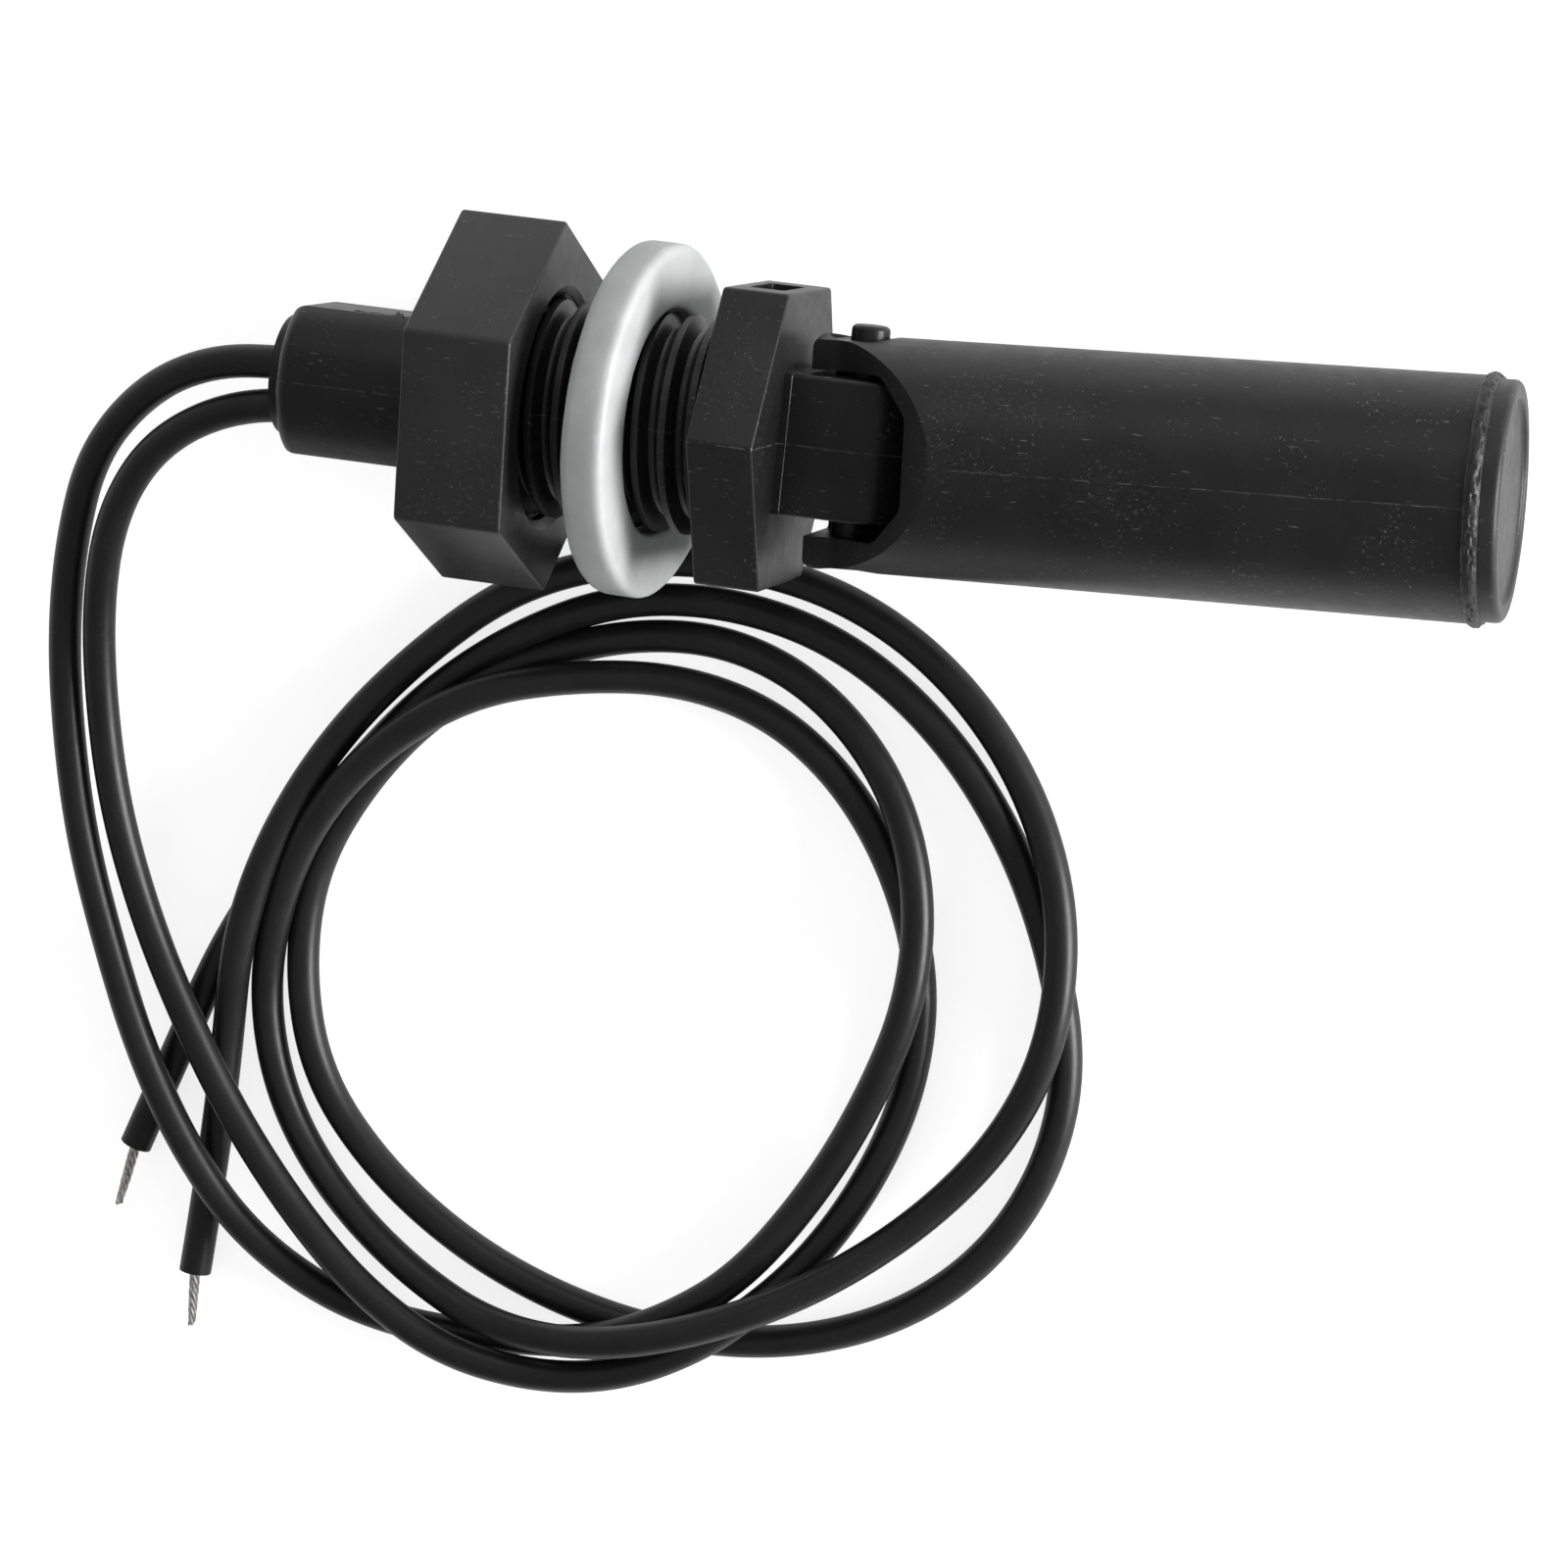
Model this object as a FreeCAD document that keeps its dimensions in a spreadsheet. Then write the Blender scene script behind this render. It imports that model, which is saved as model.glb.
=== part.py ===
import FreeCAD, Part
import math
import os
import Sketcher
from types import SimpleNamespace
from FreeCAD import Placement, Rotation, Vector

# Side-mounted float level switch, lying on a surface with its two leads.
# Frame: origin on the thread axis, in the face of the flange that seals on the
# tank wall; +X towards the float, +Y along the hinge pins, +Z up.
# All sizes are in mm and degrees.

SIZES = {
    # threaded body
    "thread_diameter": 15.9,
    "thread_length": 20.5,
    "thread_lead_in": 1.0,
    "boss_diameter": 12.8,
    "boss_flats": 10.9,
    "boss_length": 12.5,
    "boss_rounding": 1.1,
    "cavity_bore": 8.8,
    "cavity_depth": 12.9,
    "channel_bore": 5.6,
    "channel_end": 2.4,
    "flange_flats": 21.4,
    "flange_thickness": 4.9,
    "flange_bevel": 0.3,
    "recess_width": 2.6,
    "recess_length": 6.4,
    "recess_depth": 1.2,
    "recess_offset": 1.1,
    "collar_thickness": 10.4,
    "collar_length": 0.6,
    "stem_width": 10.2,
    "stem_thickness": 10.0,
    "stem_rounding": 0.4,
    "hinge_reach": 4.75,
    "pin_diameter": 2.8,
    "pin_span": 17.6,
    "pin_rounding": 0.4,
    # nut and gasket
    "nut_flats": 24.0,
    "nut_thickness": 8.05,
    "nut_position": 13.3,
    "nut_turn": 7.0,
    "nut_play": 0.06,
    "nut_mouth": 17.9,
    "gasket_outer": 26.0,
    "gasket_bore": 16.6,
    "gasket_thickness": 3.1,
    "gasket_position": 6.45,
    "gasket_lean": 5.0,
    "gasket_bevel": 0.5,
    # float
    "float_diameter": 17.0,
    "float_cap_diameter": 17.5,
    "float_length": 42.7,
    "float_wall": 1.8,
    "float_shift": 0.5,
    "float_yaw": 3.0,
    "ear_reach": 3.7,
    "ear_gap": 12.0,
    "ear_rounding": 0.9,
    "pin_play": 0.06,
    "spot_diameter": 5.0,
    "spot_distance": 8.2,
    "pocket_depth": 6.2,
    "pocket_play": 0.15,
    "bulkhead": 1.6,
    "slot_ceiling": 6.7,
    "ceiling_width": 6.6,
    "ceiling_bevel": 1.9,
    "floor_bevel": 0.25,
    "mitre_angle": 39.1,
    "mitre_height": 2.8,
    "ear_height": 2.3,
    "cap_length": 4.54,
    "cap_spigot": 3.0,
    "cap_play": 0.05,
    "cap_wall": 1.4,
    "cap_shrink": 0.2,
    "cap_dish": 14.5,
    "cap_dish_depth": 1.3,
    "weld_width": 1.9,
    "weld_height": 0.3,
    # magnet and reed switch
    "magnet_diameter": 10.0,
    "magnet_length": 5.0,
    "magnet_play": 0.05,
    "magnet_bevel": 0.4,
    "socket_wall": 1.1,
    "reed_offset": 0.7,
    "turn_gap": 0.55,
    "glass_diameter": 2.3,
    "glass_wall": 0.3,
    "glass_length": 14.0,
    "glass_seal": 2.0,
    "leg_diameter": 0.5,
    "leg_return": 2.2,
    "leg_play": 0.03,
    "leg_into_blade": 0.6,
    "leg_turn": 0.35,
    "blade_width": 1.1,
    "blade_thickness": 0.2,
    "blade_overlap": 0.8,
    "blade_gap": 0.1,
    "sleeve_wall": 0.2,
    "sleeve_length": 20.0,
    "strand_diameter": 0.8,
    "strand_length": 4.0,
    "resin_inset": 0.4,
    "solder_diameter": 1.9,
    "solder_length": 2.4,
    "shrink_wall": 0.2,
    "shrink_length": 4.4,
    "shrink_play": 0.03,
    # leads
    "lead_diameter": 2.5,
    "tip_length": 5.4,
    "tip_diameter": 0.9,
}

# Each lead leaves the boss along -X, comes down beside the boss and the nut,
# makes a small loop inside a larger one, and ends left of both loops.
ROUTE_A = [
    (-28.0, 0.9, 0.0), (-34.2, 0.9, 0.0), (-40.4, 0.2, -0.6), (-45.9, -2.7, -2.2),
    (-50.4, -8.1, -4.0), (-52.6, -15.1, -5.6), (-53.1, -22.7, -6.8), (-52.5, -30.6, -7.8),
    (-51.0, -38.5, -8.6), (-48.2, -46.5, -9.0), (-44.6, -54.0, -8.6), (-40.0, -61.0, -8.6),
    (-34.5, -67.2, -9.6), (-27.8, -71.3, -11.0), (-21.0, -73.5, -11.75), (-13.0, -73.1, -11.75),
    (-6.0, -71.6, -9.4), (-0.5, -69.0, -8.9), (5.0, -64.8, -9.6), (9.8, -57.5, -10.9),
    (13.6, -49.5, -9.4), (16.0, -41.5, -8.9), (15.7, -33.4, -9.6), (12.3, -25.6, -11.0),
    (6.0, -19.6, -11.75), (-1.5, -16.8, -11.75), (-9.5, -17.4, -11.75), (-17.0, -20.4, -11.75),
    (-23.2, -25.3, -11.75), (-28.4, -31.5, -11.75), (-32.2, -38.8, -11.75), (-33.0, -46.7, -11.75),
    (-30.9, -54.7, -11.75), (-25.6, -61.0, -11.75), (-18.4, -66.0, -11.75), (-10.4, -69.2, -11.75),
    (-1.5, -70.8, -11.75), (8.0, -70.1, -11.75), (16.6, -66.8, -11.75), (23.1, -61.2, -11.75),
    (27.1, -53.7, -11.75), (28.1, -45.5, -11.75), (25.8, -37.0, -11.75), (21.6, -28.6, -11.75),
    (15.4, -21.2, -11.75), (7.4, -15.9, -11.75), (-1.5, -13.9, -11.75), (-10.4, -14.8, -11.75),
    (-18.4, -18.2, -11.75), (-25.3, -23.6, -11.75), (-31.0, -30.8, -11.75), (-35.8, -38.0, -11.75),
    (-39.8, -45.4, -11.75), (-42.8, -53.8, -11.75), (-45.8, -62.5, -11.75),
]
ROUTE_B = [
    (-28.0, -2.1, 0.0), (-34.2, -2.1, 0.0), (-40.2, -3.7, -0.5), (-45.2, -7.3, -1.7),
    (-48.4, -12.9, -3.5), (-50.1, -20.0, -5.5), (-50.0, -27.6, -7.2), (-48.6, -35.5, -8.3),
    (-45.6, -43.5, -8.9), (-41.4, -51.0, -8.8), (-36.5, -58.2, -8.9), (-31.0, -65.0, -9.2),
    (-24.8, -70.6, -9.1), (-17.8, -74.3, -9.1), (-9.8, -75.3, -9.8), (-2.5, -73.5, -9.3),
    (4.2, -69.2, -8.9), (9.8, -63.4, -10.8), (13.8, -56.2, -11.75), (16.2, -48.4, -11.75),
    (16.2, -40.2, -11.75), (13.2, -32.4, -11.75), (8.4, -26.0, -11.75), (2.2, -21.8, -11.75),
    (-5.2, -20.2, -11.4), (-13.0, -20.9, -9.8), (-20.4, -23.0, -9.0), (-26.8, -27.6, -8.9),
    (-31.7, -33.7, -8.9), (-34.6, -41.0, -9.9), (-35.7, -49.2, -11.6), (-33.5, -57.2, -11.75),
    (-28.6, -63.9, -11.75), (-21.8, -69.0, -11.2), (-13.8, -71.8, -8.9), (-5.0, -71.2, -6.4),
    (3.8, -68.2, -6.1), (12.0, -63.8, -8.0), (19.2, -57.6, -10.4), (24.6, -50.0, -10.0),
    (27.2, -41.8, -8.9), (26.5, -32.8, -9.8), (22.4, -24.4, -11.75), (16.0, -17.2, -11.75),
    (8.0, -12.6, -11.75), (-1.0, -10.9, -11.75), (-10.2, -11.7, -11.75), (-18.6, -14.9, -11.75),
    (-25.8, -20.3, -11.75), (-31.3, -27.2, -9.8), (-35.5, -35.3, -8.9), (-37.9, -44.0, -8.9),
    (-38.9, -53.6, -11.75), (-39.2, -62.8, -11.75), (-39.8, -72.0, -11.75),
]
ARC_SHARE = 0.45

# The bare conductor ends point a little aside from their leads.
TIP_A_AIM = (-1.1, -5.3, 0.0)
TIP_B_AIM = (0.1, -5.4, 0.0)

doc = FreeCAD.newDocument("float_level_switch")
sheet = doc.addObject("Spreadsheet::Sheet", "Sizes")


class Size:
    """A number together with the sheet expression that it comes from."""

    def __init__(self, text, value):
        self.text = text
        self.value = value

    def __add__(self, other):
        return Size("(%s + %s)" % (self.text, text_of(other)), self.value + value_of(other))

    def __sub__(self, other):
        return Size("(%s - %s)" % (self.text, text_of(other)), self.value - value_of(other))

    def __mul__(self, other):
        return Size("(%s * %s)" % (self.text, text_of(other)), self.value * value_of(other))

    def __truediv__(self, other):
        return Size("(%s / %s)" % (self.text, text_of(other)), self.value / value_of(other))

    def __neg__(self):
        return Size("(0 - %s)" % self.text, -self.value)


def text_of(size):
    return size.text if isinstance(size, Size) else repr(float(size))


def value_of(size):
    return size.value if isinstance(size, Size) else float(size)


def tangent(angle):
    return Size("tan(%s * 1 deg)" % angle.text, math.tan(math.radians(angle.value)))


def fill_sheet():
    """Write each driving size into the sheet, with its name as the alias."""
    for row, (name, number) in enumerate(SIZES.items(), start=1):
        sheet.set("A%d" % row, name)
        sheet.set("B%d" % row, str(number))
        sheet.setAlias("B%d" % row, name)
    doc.recompute()


def cell(name):
    return Size("Sizes." + name, float(sheet.get(name)))


def bind(thing, **sizes):
    for name, size in sizes.items():
        thing.setExpression(name, text_of(size))


def place(thing, x=0, y=0, z=0, turn=Rotation()):
    """Put a thing at a bound position, after a fixed turn."""
    thing.Placement = Placement(Vector(value_of(x), value_of(y), value_of(z)), turn)
    bind_position = ((".Placement.Base.x", x), (".Placement.Base.y", y), (".Placement.Base.z", z))
    for path, size in bind_position:
        thing.setExpression(path, text_of(size))


def lean(thing, axis, angle):
    """Turn a thing about an axis by a bound angle."""
    thing.Placement.Rotation = Rotation(axis, angle.value)
    thing.setExpression(".Placement.Rotation.Angle", "%s * 1 deg" % angle.text)


ALONG_X = Rotation(Vector(0, 1, 0), 90)
ALONG_Y = Rotation(Vector(1, 0, 0), -90)


def rod(name, radius, length, x=0, y=0, z=0, turn=ALONG_X):
    """A round bar that starts at the given point and runs along +X or +Y."""
    bar = doc.addObject("Part::Cylinder", name)
    bind(bar, Radius=radius, Height=length)
    place(bar, x, y, z, turn)
    return bar


def joined(name, *things):
    whole = doc.addObject("Part::MultiFuse", name)
    whole.Shapes = list(things)
    whole.Refine = True
    return whole


def cut(name, base, *tools):
    """The base with the tools' shapes taken out of it."""
    tool = tools[0] if len(tools) == 1 else joined(name + "_tools", *tools)
    result = doc.addObject("Part::Cut", name)
    result.Base = base
    result.Tool = tool
    return result


def new_body(name):
    body = doc.addObject("PartDesign::Body", name)
    body.Label = name
    return body


def plane_of(body, role):
    return next(item for item in body.Origin.OriginFeatures if item.Role == role)


def new_sketch(body, role, name):
    sketch = body.newObject("Sketcher::SketchObject", name)
    sketch.AttachmentSupport = (plane_of(body, role), [""])
    sketch.MapMode = "FlatFace"
    return sketch


def shift_sketch(sketch, distance):
    """Move a sketch off its plane by a bound distance along the sketch's normal."""
    sketch.AttachmentOffset = Placement(Vector(0, 0, value_of(distance)), Rotation())
    sketch.setExpression(".AttachmentOffset.Base.z", text_of(distance))


def fix_point(sketch, line, end, u, v):
    """Hold one end of a line at bound distances from the sketch's origin."""
    for kind, size in (("DistanceX", u), ("DistanceY", v)):
        number = sketch.addConstraint(
            Sketcher.Constraint(kind, -1, 1, line, end, value_of(size)))
        sketch.setExpression("Constraints[%d]" % number, text_of(size))


def add_outline(sketch, corners):
    """A closed outline of straight sides, each corner bound to the sheet."""
    flat = [Vector(value_of(u), value_of(v), 0) for u, v in corners]
    first = sketch.GeometryCount
    for here, there in zip(flat, flat[1:] + flat[:1]):
        sketch.addGeometry(Part.LineSegment(here, there))
    for step in range(len(corners)):
        after = (step + 1) % len(corners)
        sketch.addConstraint(Sketcher.Constraint("Coincident", first + step, 2, first + after, 1))
    for step, (u, v) in enumerate(corners):
        fix_point(sketch, first + step, 1, u, v)


def add_circle(sketch, u, v, radius):
    middle = Vector(value_of(u), value_of(v), 0)
    ring = sketch.addGeometry(Part.Circle(middle, Vector(0, 0, 1), radius.value))
    fix_point(sketch, ring, 3, u, v)
    number = sketch.addConstraint(Sketcher.Constraint("Radius", ring, radius.value))
    sketch.setExpression("Constraints[%d]" % number, radius.text)


def add_hexagon(sketch, across_flats, quarter_turned):
    """A hexagon about the origin, with a corner on the second axis or on the first."""
    half = across_flats / 2
    corner = half / math.cos(math.pi / 6)
    side = corner / 2
    if quarter_turned:
        ring = [(corner, 0), (side, half), (-side, half), (-corner, 0), (-side, -half), (side, -half)]
    else:
        ring = [(0, corner), (-half, side), (-half, -side), (0, -corner), (half, -side), (half, side)]
    add_outline(sketch, ring)


def pad(body, sketch, name, length, both_ways=False, backwards=False):
    feature = body.newObject("PartDesign::Pad", name)
    feature.Profile = sketch
    feature.Midplane = both_ways
    feature.Reversed = backwards
    bind(feature, Length=length)
    return feature


def spin(body, sketch, name, kind="PartDesign::Revolution"):
    """Turn a profile about the sketch's first axis, to add or to cut."""
    feature = body.newObject(kind, name)
    feature.Profile = sketch
    feature.ReferenceAxis = (sketch, ["H_Axis"])
    feature.Angle = 360
    return feature


def pocket(body, sketch, name, length, both_ways=True, backwards=False):
    feature = body.newObject("PartDesign::Pocket", name)
    feature.Profile = sketch
    feature.Midplane = both_ways
    feature.Reversed = backwards
    bind(feature, Length=length)
    return feature


def edges_where(shape, test):
    """Names of the edges whose middle point passes the test."""
    names = []
    for number, edge in enumerate(shape.Edges, start=1):
        middle = edge.valueAt((edge.FirstParameter + edge.LastParameter) / 2)
        if test(middle, edge):
            names.append("Edge%d" % number)
    return names


def dress(body, kind, name, base, size, test, property_name):
    """A fillet or chamfer on the edges of the base that pass the test."""
    doc.recompute()
    feature = body.newObject(kind, name)
    feature.Base = (base, edges_where(base.Shape, test))
    feature.setExpression(property_name, text_of(size))
    return feature


fill_sheet()
s = SimpleNamespace(**{name: cell(name) for name in SIZES})
hinge_x = s.flange_thickness + s.hinge_reach
boss_end = s.thread_length + s.boss_length
channel_far = hinge_x + s.stem_thickness / 2 - s.channel_end


def make_sensor_body():
    """One moulding: wire boss, thread, flange, stem and the two hinge pins."""
    body = new_body("sensor_body")
    thread = s.thread_diameter / 2
    boss = s.boss_diameter / 2
    profile = new_sketch(body, "XZ_Plane", "shank_profile")
    add_outline(profile, [
        (-boss_end, 0),
        (s.flange_thickness, 0),
        (s.flange_thickness, thread),
        (-s.thread_length + s.thread_lead_in, thread),
        (-s.thread_length, thread - s.thread_lead_in),
        (-s.thread_length, boss),
        (-boss_end + s.boss_rounding, boss),
        (-boss_end, boss - s.boss_rounding),
    ])
    spin(body, profile, "shank")

    flats = new_sketch(body, "XY_Plane", "boss_flats_profile")
    for side in (1, -1):
        add_outline(flats, [
            (-boss_end, s.boss_flats / 2 * side),
            (-s.thread_length, s.boss_flats / 2 * side),
            (-s.thread_length, s.boss_diameter * side),
            (-boss_end, s.boss_diameter * side),
        ])
    pocket(body, flats, "boss_sides", s.boss_diameter * 2)

    hexagon = new_sketch(body, "YZ_Plane", "flange_profile")
    add_hexagon(hexagon, s.flange_flats, False)
    flange = pad(body, hexagon, "flange", s.flange_thickness)
    dress(body, "PartDesign::Chamfer", "flange_edge", flange, s.flange_bevel, on_far_flange_rim, "Size")

    mark = new_sketch(body, "XZ_Plane", "recess_profile")
    add_outline(mark, [
        (s.recess_offset, -s.recess_length / 2),
        (s.recess_offset + s.recess_width, -s.recess_length / 2),
        (s.recess_offset + s.recess_width, s.recess_length / 2),
        (s.recess_offset, s.recess_length / 2),
    ])
    shift_sketch(mark, -(s.flange_flats / 2 - s.recess_depth))
    pocket(body, mark, "recess", s.recess_depth * 2, False, True)

    neck = new_sketch(body, "XZ_Plane", "collar_profile")
    root = s.collar_thickness / 2
    add_outline(neck, [
        (s.flange_thickness, -root),
        (s.flange_thickness + s.collar_length, -root),
        (s.flange_thickness + s.collar_length, root),
        (s.flange_thickness, root),
    ])
    pad(body, neck, "collar", s.stem_width, True)

    side = new_sketch(body, "XZ_Plane", "stem_profile")
    half = s.stem_thickness / 2
    add_outline(side, [(s.flange_thickness, -half), (hinge_x, -half), (hinge_x, half),
                       (s.flange_thickness, half)])
    pad(body, side, "stem", s.stem_width, True)
    end = new_sketch(body, "XZ_Plane", "stem_end_profile")
    add_circle(end, hinge_x, 0, half)
    tip = pad(body, end, "stem_end", s.stem_width, True)
    dress(body, "PartDesign::Fillet", "stem_edges", tip, s.stem_rounding, on_stem_side, "Radius")

    pins = new_sketch(body, "XZ_Plane", "pins_profile")
    add_circle(pins, hinge_x, 0, s.pin_diameter / 2)
    both_pins = pad(body, pins, "pins", s.pin_span, True)
    dress(body, "PartDesign::Fillet", "pin_ends", both_pins, s.pin_rounding, on_pin_end, "Radius")

    inside = new_sketch(body, "XZ_Plane", "inside_profile")
    add_outline(inside, [
        (-boss_end, 0),
        (channel_far, 0),
        (channel_far, s.channel_bore / 2),
        (-boss_end + s.cavity_depth, s.channel_bore / 2),
        (-boss_end + s.cavity_depth, s.cavity_bore / 2),
        (-boss_end, s.cavity_bore / 2),
    ])
    spin(body, inside, "inside", "PartDesign::Groove")
    return body


def on_far_flange_rim(middle, edge):
    outward = math.hypot(middle.y, middle.z) > s.flange_flats.value / 2 - 0.1
    return outward and abs(middle.x - s.flange_thickness.value) < 0.01


def on_stem_side(middle, edge):
    """The long edges between the stem's two broad faces and its sides."""
    at_side = abs(abs(middle.y) - s.stem_width.value / 2) < 0.01
    return at_side and middle.x > s.flange_thickness.value + s.collar_length.value + 0.01


def on_pin_end(middle, edge):
    return abs(abs(middle.y) - s.pin_span.value / 2) < 0.01


def make_nut():
    """Hexagon nut with a wide mouth on the side that meets the gasket."""
    body = new_body("mounting_nut")
    hexagon = new_sketch(body, "YZ_Plane", "nut_profile")
    add_hexagon(hexagon, s.nut_flats, True)
    add_circle(hexagon, 0, 0, s.thread_diameter / 2 + s.nut_play)
    pad(body, hexagon, "nut_block", s.nut_thickness, False, True)
    mouth = new_sketch(body, "XZ_Plane", "mouth_profile")
    bore = s.thread_diameter / 2 + s.nut_play
    add_outline(mouth, [
        (0, 0),
        (0, s.nut_mouth / 2),
        (-(s.nut_mouth / 2 - bore), bore),
        (-(s.nut_mouth / 2 - bore), 0),
    ])
    spin(body, mouth, "mouth", "PartDesign::Groove")
    place(body, -s.nut_position)
    lean(body, Vector(1, 0, 0), s.nut_turn)
    return body


def make_gasket():
    """Soft ring with broken edges, hanging a little askew on the thread."""
    body = new_body("sealing_gasket")
    section = new_sketch(body, "XZ_Plane", "gasket_profile")
    half = s.gasket_thickness / 2
    bore = s.gasket_bore / 2
    rim = s.gasket_outer / 2
    add_outline(section, [
        (-half + s.gasket_bevel, bore),
        (half - s.gasket_bevel, bore),
        (half, bore + s.gasket_bevel),
        (half, rim - s.gasket_bevel),
        (half - s.gasket_bevel, rim),
        (-half + s.gasket_bevel, rim),
        (-half, rim - s.gasket_bevel),
        (-half, bore + s.gasket_bevel),
    ])
    spin(body, section, "ring")
    place(body, -s.gasket_position)
    lean(body, Vector(0, -1, 0), s.gasket_lean)
    return body


float_end = s.float_cap_diameter / 2
crest_height = s.float_diameter


def make_float_shell():
    """Hollow float: two ears round the stem, a slot between them and a bulkhead."""
    body = new_body("float_moulding")
    outer = new_sketch(body, "XZ_Plane", "float_profile")
    near = s.float_diameter / 2
    add_outline(outer, [
        (-s.ear_reach, 0),
        (s.float_length, 0),
        (s.float_length, float_end),
        (0, near),
        (-s.ear_reach + s.ear_rounding, near),
        (-s.ear_reach, near - s.ear_rounding),
    ])
    spin(body, outer, "float_blank")

    mitre = new_sketch(body, "XZ_Plane", "mitre_profile")
    rise = crest_height - s.mitre_height
    add_outline(mitre, [
        (-s.float_diameter, s.ear_height),
        ((s.ear_height - s.mitre_height) / tangent(s.mitre_angle), s.ear_height),
        (rise / tangent(s.mitre_angle), crest_height),
        (-s.float_diameter, crest_height),
    ])
    pocket(body, mitre, "mitre", s.float_diameter * 2)

    chamber = new_sketch(body, "XZ_Plane", "chamber_profile")
    start = s.pocket_depth + s.bulkhead
    add_outline(chamber, [
        (start, 0),
        (s.float_length, 0),
        (s.float_length, float_end - s.float_wall),
        (start, near - s.float_wall),
    ])
    spin(body, chamber, "chamber", "PartDesign::Groove")

    socket = new_sketch(body, "XZ_Plane", "socket_profile")
    seat = s.magnet_diameter / 2 + s.magnet_play
    add_outline(socket, [
        (start, seat),
        (start + s.magnet_length, seat),
        (start + s.magnet_length, seat + s.socket_wall),
        (start, seat + s.socket_wall),
    ])
    spin(body, socket, "socket")

    slot = new_sketch(body, "YZ_Plane", "slot_profile")
    add_slot_section(slot)
    pocket(body, slot, "slot", s.pocket_depth, False, True)
    slot_back = new_sketch(body, "YZ_Plane", "slot_back_profile")
    add_slot_section(slot_back)
    pocket(body, slot_back, "slot_back", s.ear_reach + 1, False, False)

    spot_faces(body)
    hang_on_pins(body)
    pin_room = rod("pin_room", s.pin_diameter / 2 + s.pin_play, s.float_diameter * 2,
                   hinge_x, -s.float_diameter, 0, ALONG_Y)
    return cut("float_shell", body, pin_room)


def spot_faces(body):
    """A small flat round each pin hole, on the outside of each ear."""
    for side, name in ((1, "near_spot"), (-1, "far_spot")):
        spot = new_sketch(body, "XZ_Plane", name + "_profile")
        add_circle(spot, 0, 0, s.spot_diameter / 2)
        shift_sketch(spot, s.spot_distance * side)
        pocket(body, spot, name, s.spot_diameter, False, side < 0)


def hang_on_pins(body):
    """Put a piece of the float at the hinge, a little off centre and askew as it hangs."""
    place(body, hinge_x, -s.float_shift)
    lean(body, Vector(0, 0, 1), s.float_yaw)


def add_slot_section(sketch):
    """The slot's cross-section: flat sides, a flat floor and a ceiling with broad bevels."""
    side = s.ear_gap / 2
    floor = s.stem_thickness / 2 + s.pocket_play
    ceiling = s.slot_ceiling
    add_outline(sketch, [
        (side - s.floor_bevel, -floor),
        (side, s.floor_bevel - floor),
        (side, ceiling - s.ceiling_bevel),
        (s.ceiling_width / 2, ceiling),
        (-s.ceiling_width / 2, ceiling),
        (-side, ceiling - s.ceiling_bevel),
        (-side, s.floor_bevel - floor),
        (s.floor_bevel - side, -floor),
    ])


def make_float_cap():
    """End cap: a spigot inside the shell, the weld bead, and a dished end."""
    body = new_body("float_cap")
    section = new_sketch(body, "XZ_Plane", "cap_profile")
    joint = s.float_length
    end = joint + s.cap_length
    spigot = float_end - s.float_wall - s.cap_play
    rim = float_end - s.cap_shrink
    slope = s.weld_height
    add_outline(section, [
        (end - s.cap_dish_depth, 0),
        (end - s.cap_dish_depth, s.cap_dish / 2),
        (end, s.cap_dish / 2),
        (end, rim - slope),
        (end - slope, rim),
        (joint + s.weld_width, rim),
        (joint + s.weld_width - slope, float_end + s.weld_height),
        (joint + slope, float_end + s.weld_height),
        (joint, float_end),
        (joint, spigot),
        (joint - s.cap_spigot, spigot),
        (joint - s.cap_spigot, spigot - s.cap_wall),
        (end - s.cap_dish_depth - s.cap_wall, spigot - s.cap_wall),
        (end - s.cap_dish_depth - s.cap_wall, 0),
    ])
    spin(body, section, "cap")
    hang_on_pins(body)
    return body


def make_magnet():
    """Disc magnet in its socket against the bulkhead."""
    body = new_body("float_magnet")
    section = new_sketch(body, "XZ_Plane", "magnet_profile")
    start = s.pocket_depth + s.bulkhead
    edge = s.magnet_diameter / 2
    add_outline(section, [
        (start, 0),
        (start + s.magnet_length, 0),
        (start + s.magnet_length, edge - s.magnet_bevel),
        (start + s.magnet_length - s.magnet_bevel, edge),
        (start, edge),
    ])
    spin(body, section, "magnet")
    hang_on_pins(body)
    return body


# The reed switch lies beside the stem's axis, and its far leg comes back past it.
reed_y = s.reed_offset
reed_z = s.reed_offset
return_y = reed_y - s.leg_return
leg = s.leg_diameter / 2
turn_x = channel_far - s.leg_return / 2 - leg - s.turn_gap
glass_end = turn_x - s.leg_turn
glass_start = glass_end - s.glass_length
lead_start = ROUTE_A[0][0]
strand_end = s.strand_length + lead_start
joint_start = strand_end - s.solder_length


def tube(name, inner, outer, length, x, y, z):
    """A round sleeve along +X."""
    skin = rod(name + "_skin", outer, length, x, y, z)
    hole = rod(name + "_hole", inner, length, x, y, z)
    return cut(name, skin, hole)


def make_reed_glass():
    """Glass tube sealed round the two legs, hollow between the seals."""
    whole = rod("glass_skin", s.glass_diameter / 2, s.glass_length, glass_start, reed_y, reed_z)
    hollow = rod("glass_hollow", s.glass_diameter / 2 - s.glass_wall,
                 s.glass_length - s.glass_seal * 2, glass_start + s.glass_seal, reed_y, reed_z)
    near = rod("near_seal_hole", leg, s.glass_seal, glass_start, reed_y, reed_z)
    far = rod("far_seal_hole", leg, s.glass_seal, glass_end - s.glass_seal, reed_y, reed_z)
    return cut("reed_glass", whole, hollow, near, far)


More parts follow.
